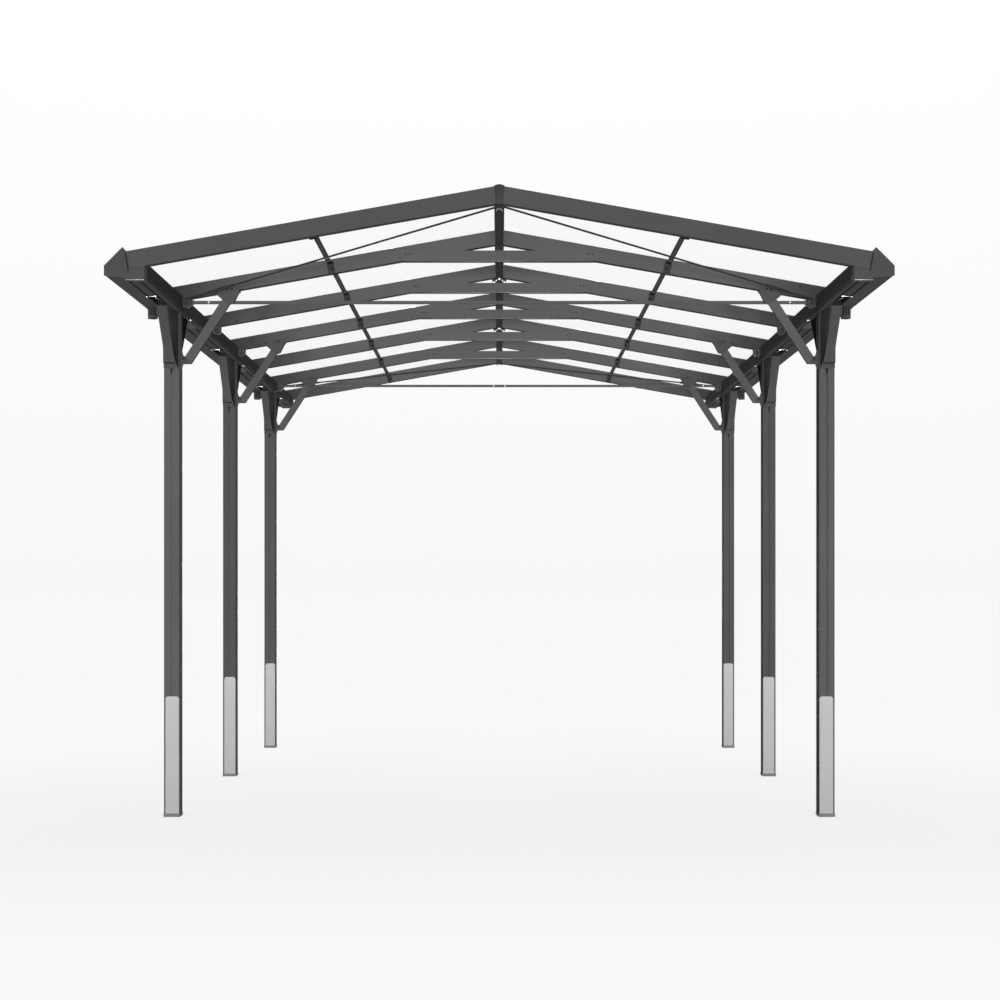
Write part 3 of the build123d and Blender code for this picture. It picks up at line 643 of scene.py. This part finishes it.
def add_brackets(name, side):
    """Swept front corbels with their collars, lips and hook ribs, beside the rear ones."""
    node = f"post_head_brackets_{name}"
    bm = node_mesh(node)
    rear_part(bm)
    round_edges(bm, 1.2 * MM, 2)
    ribs = bmesh.new()
    heights = [bracket_low + step * MM for step in (0, 1.5, 40, 58, 68, 76, 84, 94, 110, 140, 180, 220)]
    heights.append(beam_low.z - 5 * MM)
    for row in post_rows:
        loft(bm, [corbel_section(side, row, z) for z in heights])
        face = row - post_half
        collar = Vector((side * (bracket_x1 - 30 * MM), face - 1.5 * MM, bracket_low - 15 * MM))
        bar(bm, collar, mm(60, 7, 26), 1.6)
        lip = Vector((side * (bracket_x1 - 30 * MM), face - 157 * MM, beam_low.z - 2.6 * MM))
        bar(bm, lip, mm(63, 30, 5), 1.2)
        for number in range(5):
            rib = Vector((side * (1657.5 + 11.6 * number) * MM, face - 163 * MM, beam_low.z + 15 * MM))
            bar(ribs, rib, mm(3.8, 26, 29), 0.9)
    add_piece(f"corbels_{name}", bm, casting, [node])
    add_piece(f"hook_ribs_{name}", ribs, seat_casting)


# the strip of painted shade up each corbel's inner corner: rise over the collar, inner and outer edge from
# the carport's middle (mm)
CORNER_SHADE = [(-37, 1643.4, 1644), (-24, 1641.5, 1646), (-8, 1641, 1650), (4, 1641, 1651), (14, 1648, 1655),
        (28, 1652, 1659), (60, 1657, 1662.5), (85, 1660, 1664.5), (110, 1663, 1666), (125, 1665, 1665.5)]
CHEEK = [4, 28, 60, 85, 110, 142, 170, 200, 230, 258]
# painted shade on the corbels' inner sides: near-black at the collar, lighter towards the beam
cheek_shade = shaded_casting("cheek_shade", [(bracket_low + rise * MM, level) for rise, level in
                               ((0, 0.019), (80, 0.020), (142, 0.036), (190, 0.060), (262, 0.064))])


def cheek_ring(side, face, z, near, far, proud):
    """Flat ring on the corbel's inner side between two distances from the carport's middle."""
    reach = corbel_reach(z) if z > bracket_low else 6 * MM
    root = Vector((post_x - post_half + 4 * MM, 0))
    along = Vector((corbel_corner(z), reach)) - root
    start = (near * MM - root.x) / along.x
    stop = (far * MM - root.x) / along.x
    centre = root + along * (start + stop) / 2
    half = along * (stop - start) / 2
    lift = Vector((-along.y, along.x)).normalized() * proud * min(1, half.length / (4 * MM))
    ring = []
    for step in range(10):
        angle = math.tau * step / 10
        point = centre + half * math.cos(angle) + lift * math.sin(angle)
        ring.append((side * point.x, face - max(point.y, -1 * MM), z))
    return ring


def add_bracket_shade(name, side):
    """Black strips of painted shade in and over the hooks' slots, up the corbels' inner corners and on the
    rear corbels' inner sides; a black joint under each corbel; cheeks and a funnel at the top of each
    post's groove in painted shade.
    """
    bm = bmesh.new()
    cheeks = bmesh.new()
    for row in post_rows:
        face = row - post_half
        # painted shadow in the hooks' slots and over them
        core = Vector((side * HOOK_X, face - 155 * MM, beam_low.z + 15 * MM))
        bar(bm, core, mm(49, 28, 27), 0.6)
        cover = Vector((side * HOOK_X, face - 163 * MM, beam_low.z + 30.6 * MM))
        bar(bm, cover, mm(51, 26.4, 3.4), 0.9)
        under = Vector((side * (bracket_x1 - 29.5 * MM), face - 8 * MM, bracket_low - 1.6 * MM))
        bar(bm, under, mm(55, 18, 3), 0.8)
        # painted shade up the corbel's inner corner
        loft(bm, [cheek_ring(side, face, bracket_low + rise * MM, near, far, 2.6 * MM)
                  for rise, near, far in CORNER_SHADE])
        # cheeks of painted shade over the corbel's inner side
        loft(cheeks, [cheek_ring(side, face, bracket_low + rise * MM, 1641,
                                 corbel_corner(bracket_low + rise * MM) / MM - 1.2, 1.6 * MM)
                      for rise in CHEEK])
        # dark funnel of painted shade at the top of the post's groove
        top = bracket_low - 29.5 * MM
        funnel = [(-9 * MM, top), (-4 * MM, top - 12 * MM), (-4 * MM, top - 26 * MM),
                  (4 * MM, top - 26 * MM), (4 * MM, top - 12 * MM), (9 * MM, top)]
        extruded(cheeks, [(side * post_x + u, v) for u, v in funnel], "y", face - 0.8 * MM, face + 4 * MM)
        # painted shade on the rear corbel's inner side
        rear = row + post_half
        outline = [(rear + 1 * MM, bracket_low + 75 * MM), (rear + 20 * MM, bracket_low + 94 * MM),
                   (rear + 140 * MM, beam_low.z - 9 * MM), (rear + 1 * MM, beam_low.z - 9 * MM)]
        inner = side * (post_x - post_half + 2.2 * MM)
        extruded(bm, [(y, z) for y, z in outline], "x", *sorted((inner, inner + side * 3 * MM)))
    add_piece(f"bracket_shade_strips_{name}", bm, rubber)
    add_piece(f"bracket_cheeks_{name}", cheeks, cheek_shade)


for name, side in SIDES:
    add_brackets(name, side)
    add_bracket_shade(name, side)


# ---- Fasteners -----------------------------------------------------------------------------
def on_rafter(x, above):
    """Height over the underside of a rafter at a distance from the middle."""
    return crossing - SLOPE * x + above


def half_depth(low, high, rows):
    """Half of the depth of the like pieces in some rows, from the box around them all."""
    return (high.y - low.y - (rows[-1] - rows[0])) / 2


def add_heads(name, head, rows, spots, reach, size, offset=0.0):
    """Heads on both faces of the bars in some rows: spots of (distance from the middle, height)."""
    bm = bmesh.new()
    for row in rows:
        for x, z in spots:
            for side in BOTH:
                for turn in BOTH:
                    spot = Vector((side * x, row + offset + turn * reach, z))
                    head(bm, spot, (0, turn, 0), size)
    add_piece(name, bm, screw_black)


def add_beam_bolts():
    """Bolts through the beam's inner flange on either side of each post."""
    bm = bmesh.new()
    for row in post_rows:
        for side in BOTH:
            for way in BOTH:
                spot = Vector((side * (beam_low.x + 12.5 * MM), row + way * 68 * MM, beam_low.z))
                hex_bolt(bm, spot, DOWN, 11 * MM)
    add_piece("beam_bolts", bm, screw_black)


def add_foot_screws():
    bm = bmesh.new()
    for row in post_rows:
        for side in BOTH:
            for turn in BOTH:
                spot = Vector((side * post_x + turn * (post_half + 2 * MM), row, foot_high.z - 7 * MM))
                pan_screw(bm, spot, (turn, 0, 0), 4 * MM)
    add_piece("foot_screws", bm, screw_black)


add_heads("rafter_screws", pan_screw, inner_rows,
          [(x, on_rafter(x, above)) for x, above in ((1.543, 54 * MM), (1.490, 13 * MM))],
          rafter_half, 6 * MM)
tie_low, tie_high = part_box("collar_ties")
add_heads("collar_tie_screws", pan_screw, inner_rows, [(x, tie_high.z - 19 * MM) for x in (0.458, 0.478)],
          half_depth(tie_low, tie_high, inner_rows), 5 * MM)
seat_low, seat_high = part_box("rafter_seats_right")
add_heads("seat_bolts", hex_bolt, inner_rows, [((seat_low.x + seat_high.x) / 2, seat_low.z + 19 * MM)],
          rafter_half, 13 * MM)
add_heads("shoe_bolts", pan_screw, post_rows, [(x, on_rafter(x, 11 * MM)) for x in (1.370, 1.392, 1.452)],
          half_depth(*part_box("brace_shoes_right"), post_rows), 6.5 * MM)
cheek_low, cheek_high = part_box("brace_feet_right")
add_heads("cheek_bolts", hex_bolt, post_rows,
          [(cheek_high.x - 21 * MM, (cheek_low.z + cheek_high.z) / 2 + 4 * MM)],
          half_depth(cheek_low, cheek_high, post_rows), 11 * MM, (cheek_low.y + cheek_high.y) / 2)
add_beam_bolts()
add_foot_screws()


# ---- Tie rods and wind bracing -------------------------------------------------------------
ROD_STOUTER = 1.04          # thickness against the frame's rods
ROD_HIGHER = {"front": 0.0, "rear": 9 * MM}


def rod_axis(row):
    """Middle and radius of a tie rod."""
    low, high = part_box(f"tie_rod_{row}")
    return (low + high) / 2 + Vector((0, 0, ROD_HIGHER[row])), (high.z - low.z) / 2 * ROD_STOUTER


def add_tie_rods():
    """The tie rods, a little stouter than the construction, each with a sleeve in the middle."""
    for row in ("front", "rear"):
        node = f"tie_rod_{row}"
        centre, radius = rod_axis(row)
        bm = bmesh.new()
        bm.from_mesh(nodes[node].data)
        for vert in bm.verts:
            vert.co.y = centre.y + (vert.co.y - centre.y) * ROD_STOUTER
            vert.co.z = centre.z + (vert.co.z - centre.z + ROD_HIGHER[row]) * ROD_STOUTER
        half = 36 * MM
        sleeve = radius + 0.7 * MM
        lathe(bm, facing(centre, (1, 0, 0)),
              [(radius - 1 * MM, -half), (sleeve, -half), (sleeve, half), (radius - 1 * MM, half)], 32)
        end_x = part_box(node)[1].x - 6 * MM
        for way in BOTH:
            end = facing(Vector((way * end_x, centre.y, centre.z)), (way, 0, 0))
            lathe(bm, end, profile(radius, (-1, -5), (4, -5), (5, -3), (5, 4), (7, 4), (7, 6), (-1, 6)), 6)
        add_piece(f"stout_{node}", bm, rod_paint, [node])


def add_rod_pins():
    """Bright rings beside the rear rod's sleeve, and bright cross pins near the rods' ends."""
    bm = bmesh.new()
    for row in ("front", "rear"):
        centre, radius = rod_axis(row)
        for side in BOTH:
            if row == "rear":
                ring = facing(centre + Vector((side * 40 * MM, 0, 0)), (1, 0, 0))
                lathe(bm, ring, profile(radius, (-1, -3), (0.8, -3), (1.3, -2), (1.3, 2), (0.8, 3),
                                        (-1, 3)), 32)
            for x in (1.374, 1.495):
                spot = Vector((side * x, centre.y - radius, centre.z))
                pan_screw(bm, spot, FRONT, 5 * MM)
                pan_screw(bm, spot + Vector((0, 2 * radius, 0)), -FRONT, 5 * MM)
    add_piece("tie_rod_pins", bm, zinc)


def tube(bm, start, stop, radius):
    """Straight rod with slightly rounded ends."""
    length = (stop - start).length
    lathe(bm, facing(start, stop - start),
          [(0, 0), (0.8 * radius, 0), (radius, 0.3 * radius), (radius, length - 0.3 * radius),
           (0.8 * radius, length), (0, length)], 16)


BRACE_RADIUS = 4.8 * MM
BARREL = 230                        # millimetres from a rod's foot to its turnbuckle's middle
HEAD_Y = {1: 2.478, -1: 2.464}      # the rods' heads lie side by side under the ridge


def add_wind_braces(end, towards):
    """Rods from the eave lugs to the ridge, where the pair crosses, with a turnbuckle each."""
    node = f"wind_braces_{end}"
    low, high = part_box(node)
    core = 0.6 * BRACE_RADIUS
    bm = bmesh.new()
    for side in BOTH:
        foot = Vector((side * (high.x - 3.5 * MM), high.y if towards > 0 else low.y, low.z + 7.3 * MM))
        crossed = HEAD_Y[side] * -towards
        head = Vector((-side * 9 * MM, crossed, high.z + 5 * MM))
        way = (head - foot).normalized()
        tube(bm, foot, head, BRACE_RADIUS)
        barrel = facing(foot + way * BARREL * MM, way)
        lathe(bm, barrel, [(core, -58 * MM), *profile(0, (7.5, -58), (7.5, -46), (9, -40), (9, 40),
                                                      (7.5, 46), (7.5, 58)), (core, 58 * MM)], 20)
        for reach in (66, -66):
            nut = facing(foot + way * (BARREL + reach) * MM, way)
            lathe(bm, nut, [(core, -4 * MM), *profile(0, (8, -4), (8.7, -3), (8.7, 3), (8, 4)),
                            (core, 4 * MM)], 6)
        fork = facing(foot + way * 24 * MM, way)
        lathe(bm, fork, [(core, -20 * MM), *profile(0, (7, -20), (8, 6), (6, 20)), (core, 20 * MM)], 20)
        eye = facing(head + Vector((0, 0, 1 * MM)), (0, 0, 1))
        lathe(bm, eye, profile(0, (0, -9), (4, -9), (8, -6), (8, 3), (0, 3)), 20)
    add_piece(f"brace_rods_{end}", bm, steel_paint, [node])


add_tie_rods()
add_rod_pins()
add_wind_braces("front", 1)
add_wind_braces("rear", -1)


# ---- Purlins and their clips ---------------------------------------------------------------
panel_under = crossing + 70 * MM / math.cos(PITCH)
purlin_x = middle("purlins_right").x + 22 * MM
clip_x = purlin_x - 7 * MM


def under_panel(side, x, y):
    """Matrix at a place on the panels' undersides: x down the slope, z square to it."""
    origin = Vector((side * x, y, panel_under - SLOPE * x))
    slope_way = Vector((side * ACROSS.x, 0, ACROSS.z))
    square = Vector((side * UPRIGHT.x, 0, UPRIGHT.z))
    columns = (slope_way, square.cross(slope_way), square)
    return Matrix.Translation(origin) @ Matrix([[c[i] for c in columns] for i in range(3)]).to_4x4()


def add_purlins(name, side):
    """Channel strips, open downwards, from clip to clip under the panels."""
    web = bmesh.new()
    flanges = bmesh.new()
    for first, last in zip(rafter_rows, rafter_rows[1:]):
        start = first + rafter_half + 4 * MM
        stop = last - rafter_half - 4 * MM
        half = (stop - start) / 2
        place = under_panel(side, purlin_x, (start + stop) / 2)
        bar(web, place @ at(0, 0, -1.6), (25 * MM, 2 * half, 2.6 * MM), 0.6)
        for way in BOTH:
            bar(flanges, place @ at(way * 10.6, 0, -4.6),
                (5 * MM, 2 * half, 6.6 * MM), 1.2)
    # webs with painted light, flanges with painted shade
    add_piece(f"purlin_webs_{name}", web, lit_web_coat, [f"purlins_{name}"])
    add_piece(f"purlin_flanges_{name}", flanges, shaded_flange_coat, [f"purlins_{name}"])


def add_purlin_clips(name, side):
    """Hangers on the rafters' sides: a plate with two flanges, a slot at the top and a rubber buffer."""
    bm = bmesh.new()
    black = bmesh.new()
    for row in rafter_rows:
        for turn in BOTH:
            if (row, turn) in ((rafter_rows[0], -1), (rafter_rows[-1], 1)):
                continue
            place = under_panel(side, clip_x, row + turn * rafter_half)
            out = turn * (1 if place.col[1].y > 0 else -1)
            bar(bm, place @ at(0, out * 2, -38),
                mm(36, 4, 62), 1)
            for way in BOTH:
                bar(bm, place @ at(way * 15.5, out * 7, -38),
                    mm(4, 13, 58), 1.2)
            bar(bm, place @ at(0, out * 8, -66),
                mm(34, 12, 3), 0.9)
            bar(black, place @ at(0, out * 7, -17),
                mm(24, 8, 12), 1.5)
            bar(black, place @ at(-4, out * 6, -47),
                mm(8, 6, 14), 1.5)
            if row in (rafter_rows[0], rafter_rows[-1]):
                bar(black, place @ at(0, out * 3, -71.5),
                    mm(38, 10, 6), 1)
    add_piece(f"purlin_hangers_{name}", bm, seat_casting, [f"purlin_clips_{name}"])
    add_piece(f"hanger_buffers_{name}", black, rubber)


for name, side in SIDES:
    add_purlins(name, side)
    add_purlin_clips(name, side)


def add_joint_strips(name, side):
    """Clear joint profiles between the sheets, over the rafters inside the gables."""
    node = f"cover_strips_{name}"
    low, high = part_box(node)
    ends = sorted((abs(low.x), abs(high.x)))
    length = (ends[1] - ends[0]) / ACROSS.x - 4 * MM
    bm = bmesh.new()
    gaskets = bmesh.new()
    for row in inner_rows:
        place = under_panel(side, (ends[0] + ends[1]) / 2, row)
        bar(bm, place @ at(0, 0, 12), (length, 40 * MM, 3.8 * MM), 1.2)
        bar(bm, place @ at(0, 0, 6.7), (length, 3 * MM, 6.4 * MM), 0.8)
        bar(gaskets, place @ at(0, 0, 1.7), (length, 38 * MM, 3 * MM), 0.8)
    add_piece(f"joint_strips_{name}", bm, sheet_clear, [node])
    add_piece(f"glazing_gaskets_{name}", gaskets, gable_x, [node])


for name, side in SIDES:
    add_joint_strips(name, side)


# ---- End caps of the eaves -----------------------------------------------------------------
def add_end_caps(end, towards):
    """Caps over the beams' and gutters' ends, a black joint beside the rafter, and a light metal bead along
    the lower edge as a painted highlight.
    """
    node = f"gutter_end_caps_{end}"
    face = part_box(node)[0].y if towards < 0 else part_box(node)[1].y
    bm = node_mesh(node)
    for vert in bm.verts:
        if abs(vert.co.y - face) < 0.1 * MM:
            vert.co.y -= towards * 0.7 * MM         # the joint stands this proud
    round_edges(bm, 1.6 * MM, 3)
    add_piece(f"end_caps_{end}", bm, cap_plastic, [node])
    seal = bmesh.new()
    rafter_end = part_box("rafter_pair_1")[1].x
    low_z = beam_high.z - 46 * MM
    high_z = beam_high.z + 38 * MM
    for side in BOTH:
        low_end = Vector((side * (rafter_end - 10 * MM), face - towards * 1.76 * MM, low_z))
        high_end = Vector((side * (rafter_end + 4.5 * MM), face - towards * 1.76 * MM, high_z))
        way = high_end - low_end
        lean = Matrix.Rotation(math.atan2(way.x, way.z), 4, "Y")
        bar(seal, Matrix.Translation((low_end + high_end) / 2) @ lean, (4.5 * MM, 3.5 * MM, way.length),
            0.5)
    add_piece(f"end_cap_seals_{end}", seal, rubber)
    # light bead along each cap's lower edge: a painted highlight
    joint = beam_high.x + 5 * MM
    edge = bmesh.new()
    for side in BOTH:
        y = face - towards * 2.7 * MM
        ends = [Vector((side * x, y, beam_low.z - 0.4 * MM)) for x in (beam_low.x + 2 * MM, joint - 3 * MM)]
        tube(edge, *ends, 1.8 * MM)
    add_piece(f"end_cap_highlight_beads_{end}", edge, highlight_bead_metal)


add_end_caps("front", -1)
add_end_caps("rear", 1)


# ---- Beam channels, clips and outlets ------------------------------------------------------
COVER_END = 465 * MM        # from a post's centre to where the channel covers stop


def add_channel_details():
    """Black strips of painted shade in the grooves beside the channel covers and inside the open channel
    near each post, and a bright clip at each cover's end.
    """
    seals = bmesh.new()
    clips = bmesh.new()
    cover_low, cover_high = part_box("channel_covers_right")
    half = (cover_high.x - cover_low.x) / 2
    x = (cover_high.x + cover_low.x) / 2
    start, stop = cover_low.y, post_rows[0] - COVER_END
    for side in BOTH:
        # painted shade in the grooves beside the covers
        for turn in BOTH:
            for near, far in ((start, stop), (post_rows[0] + COVER_END, post_rows[1] - COVER_END)):
                for way in BOTH:
                    spot = Vector((side * x + way * (half - 3.5 * MM), turn * (near + far) / 2,
                                   beam_low.z + 1.6 * MM))
                    bar(seals, spot, (8.5 * MM, far - near, 5 * MM), 1.2)
        for row in post_rows:
            y = row - 432 * MM
            strap = Vector((side * (x + 4 * MM), y, beam_low.z + 3.5 * MM))
            bar(clips, strap, mm(40, 5, 3.4), 0.9)
            button = facing(Vector((side * (x + 32 * MM), y, beam_low.z + 2 * MM)), DOWN)
            lathe(clips, button, profile(0, (0, 4), (3, 4), (5, 2.5), (5.5, 0), (0, 0)), 16)
            start_arm = Vector((side * (x - 8 * MM), y + 62 * MM, beam_low.z + 3 * MM))
            arm = facing(start_arm, (side * 0.18, -1, 0))
            bar(clips, arm, mm(4, 4, 66), 1.2)
            plate = Vector((side * (beam_low.x + 6 * MM), row + 198 * MM, beam_low.z - 2.5 * MM))
            bar(clips, plate, mm(15, 8, 4), 1.2)
            # painted shade inside the open channel
            open_channel_shade = Vector((side * x, row - 400 * MM, beam_low.z + 9 * MM))
            bar(seals, open_channel_shade, mm(52, 120, 2), 0.5)
    add_piece("channel_shade_strips", seals, rubber)
    add_piece("channel_clips", clips, zinc)


def add_outlets(name, side):
    """Ribbed spigots with a bead at the lower end and an eight-sided nut."""
    node = f"gutter_outlets_{name}"
    low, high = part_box(node)
    x = (low.x + high.x) / 2
    across = high.x - low.x
    bm = bmesh.new()
    dark = bmesh.new()
    core = bmesh.new()
    for y in (low.y + across / 2, high.y - across / 2):
        place = facing(Vector((x, y, low.z)), (0, 0, 1))
        radius = 25 * MM
        tall = high.z - low.z
        lathe(bm, place, profile(radius, (-3, 0), (-0.6, 0), (0, 1.5), (0, 5), (-1.8, 6.5), (-1.8, 9),
                                 (0, 10), (0, 12), (-3, 13)), 48)
        # near-black core behind the ribs: painted shade in the flutes
        lathe(core, place, profile(radius, (-4, 3), (-3.2, 3)) + [(radius - 3.2 * MM, tall),
                                                                  (radius - 4 * MM, tall)], 48)
        for number in range(12):
            turn = Matrix.Rotation(math.tau * (number + 0.2) / 12, 4, "Z")
            bar(bm, place @ turn @ Matrix.Translation((radius - 2.4 * MM, 0, 32 * MM)),
                mm(4.6, 5.5, 42), 1.4)
        # black nut: part of its dark tone is painted shade under the gutter
        nut = facing(Vector((x, y, high.z - 16 * MM)), (0, 0, 1))
        half = across / 2 / math.cos(math.radians(22.5))
        lathe(dark, nut @ Matrix.Rotation(math.radians(22.5), 4, "Z"),
              [(radius - 1 * MM, 0), (half - 1.5 * MM, 0), (half, 1.5 * MM), (half, 16 * MM),
               (radius - 1 * MM, 16 * MM)], 8)
    add_piece(f"spigots_{name}", bm, cap_plastic, [node])
    add_piece(f"spigot_nuts_{name}", dark, clip_black)
    add_piece(f"spigot_flute_shade_{name}", core, rubber)


def add_hanger_clamps():
    """Clamps where the legged hangers meet the ridge beam, wires in front, dark prongs at the rear."""
    bm = bmesh.new()
    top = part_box("ridge_beam")[0].z
    for row in rafter_rows[2:-1:2]:
        for turn in BOTH:
            y = row + turn * 6 * MM
            head = facing(Vector((0, y, top - 5 * MM)), (0, turn, 0))
            lathe(bm, head, profile(0, (0, 3), (4, 3), (7, 1.5), (7.5, 0), (0, 0)), 18)
            for way in BOTH:
                tube(bm, Vector((way * 6 * MM, y, top - 7 * MM)),
                     Vector((way * 23 * MM, y, top - 22 * MM)), 2.6 * MM)
    prongs = bmesh.new()
    for offset in (-19, 0, 19):
        spot = Vector((offset * MM, 2.440, top - 9 * MM))
        bar(prongs, spot, mm(9, 12, 22), 2)
    add_piece("ridge_prongs", prongs, clip_black)
    wire = top - 1.4 * MM
    for way in BOTH:
        tube(bm, Vector((0, -2.458, wire)), Vector((way * 15 * MM, -2.372, wire)), 2 * MM)
        tube(bm, Vector((way * 12 * MM, -2.458, wire)), Vector((way * -6 * MM, -2.400, wire)), 1.6 * MM)
    add_piece("hanger_clamps", bm, zinc)


add_channel_details()
for name, side in SIDES:
    add_outlets(name, side)
add_hanger_clamps()


# ---- Floor, backdrop light and lamps -------------------------------------------------------
def seen_fac(tree):
    """1 for camera, glossy and transmission rays, which see the backdrop as it is."""
    path = tree.nodes.new("ShaderNodeLightPath")
    value = path.outputs["Is Camera Ray"]
    for other in ("Is Glossy Ray", "Is Transmission Ray"):
        node = tree.nodes.new("ShaderNodeMath")
        node.operation = "MAXIMUM"
        tree.links.new(value, node.inputs[0])
        tree.links.new(path.outputs[other], node.inputs[1])
        value = node.outputs["Value"]
    return value


def grey(level):
    return (level, level, level)


FLOOR_SHADES = [(0.0, grey(1.0)), (0.10, grey(0.998)), (0.19, grey(0.965)), (0.28, grey(0.935)),
                (0.41, grey(0.945)), (0.62, grey(0.995)), (1.0, grey(0.985))]


def add_floor():
    mesh = bpy.data.meshes.new("floor")
    reach = 200.0
    mesh.from_pydata([(-reach, -reach, 0), (reach, -reach, 0), (reach, reach, 0), (-reach, reach, 0)],
                     [], [(0, 1, 2, 3)])
    floor = bpy.data.objects.new("floor", mesh)
    scene.collection.objects.link(floor)
    floor.visible_shadow = False
    s = Shader("floor_white")
    place = s.span(s.part(s.coords, "Y"), 0.0, 1.0, -6.0, 6.0)
    shade = s.ramp(place, FLOOR_SHADES)
    glow = s.add("ShaderNodeEmission")
    s.link(shade, glow.inputs["Color"])
    shadowed = s.add("ShaderNodeBsdfDiffuse")
    s.link(shade, shadowed.inputs["Color"])
    keep = s.add("ShaderNodeMixShader")
    keep.inputs["Fac"].default_value = 0.22
    glow.inputs["Strength"].default_value = 1.06
    s.link(glow.outputs["Emission"], keep.inputs[1])
    s.link(shadowed.outputs["BSDF"], keep.inputs[2])
    bounce = s.add("ShaderNodeBsdfDiffuse")
    bounce.inputs["Color"].default_value = (*grey(0.085), 1.0)
    both = s.add("ShaderNodeMixShader")
    s.link(seen_fac(s.tree), both.inputs["Fac"])
    s.link(bounce.outputs["BSDF"], both.inputs[1])
    s.link(keep.outputs["Shader"], both.inputs[2])
    s.link(both.outputs["Shader"], s.tree.nodes["Material Output"].inputs["Surface"])
    mesh.materials.append(s.mat)


def add_world():
    world = bpy.data.worlds.new("studio")
    world.use_nodes = True
    scene.world = world
    tree = world.node_tree
    tree.nodes.clear()
    new, link = tree.nodes.new, tree.links.new
    out = new("ShaderNodeOutputWorld")
    mix = new("ShaderNodeMixShader")
    light = new("ShaderNodeBackground")
    light.inputs["Color"].default_value = (1, 1, 1, 1)
    light.inputs["Strength"].default_value = 0.06
    seen = new("ShaderNodeBackground")
    coords = new("ShaderNodeTexCoord")
    split = new("ShaderNodeSeparateXYZ")
    ramp = new("ShaderNodeValToRGB")
    for element, (place, level) in zip(ramp.color_ramp.elements, ((0.0, 0.935), (0.32, 1.0))):
        element.position = place
        element.color = (*grey(level), 1)
    link(coords.outputs["Generated"], split.inputs["Vector"])
    link(split.outputs["Z"], ramp.inputs["Fac"])
    link(ramp.outputs["Color"], seen.inputs["Color"])
    link(seen_fac(tree), mix.inputs["Fac"])
    link(light.outputs["Background"], mix.inputs[1])
    link(seen.outputs["Background"], mix.inputs[2])
    link(mix.outputs["Shader"], out.inputs["Surface"])


def add_sun(name, towards, strength, softness, shadow=True):
    light = bpy.data.lights.new(name, "SUN")
    light.use_shadow = shadow
    light.energy = strength
    light.angle = math.radians(softness)
    light.specular_factor = 0.3
    obj = bpy.data.objects.new(name, light)
    obj.rotation_euler = Vector(towards).to_track_quat("-Z", "Y").to_euler()
    obj.location = (0, -8, 6)
    scene.collection.objects.link(obj)


add_floor()
add_world()
for sun in (("front_left", (0.10, 1.0, 0.14), 0.62, 4), ("front_right", (-0.10, 1.0, 0.14), 0.62, 4),
            ("front_fill", (0.0, 1.0, 0.0), 2.3, 5, False), ("top", (0.0, -0.05, -1.0), 1.6, 60),
            ("under", (0.0, 0.0, 1.0), 0.9, 1, False), ("rear", (0.0, -1.0, 0.0), 1.8, 2),
            ("side_left", (1.0, 0.0, 0.0), 1.1, 1), ("side_right", (-1.0, 0.0, 0.0), 1.1, 1)):
    add_sun(*sun)

camera_data = bpy.data.cameras.new("camera")
camera_data.sensor_width = 36.0
camera_data.lens = 54.515
camera_data.shift_x = 0.0007
camera_data.shift_y = 0.0864
camera = bpy.data.objects.new("camera", camera_data)
camera.location = (0.0, -9.44, 1.179)
camera.rotation_euler = (math.radians(90), 0, 0)
scene.collection.objects.link(camera)
scene.camera = camera
scene.view_settings.view_transform = "Standard"
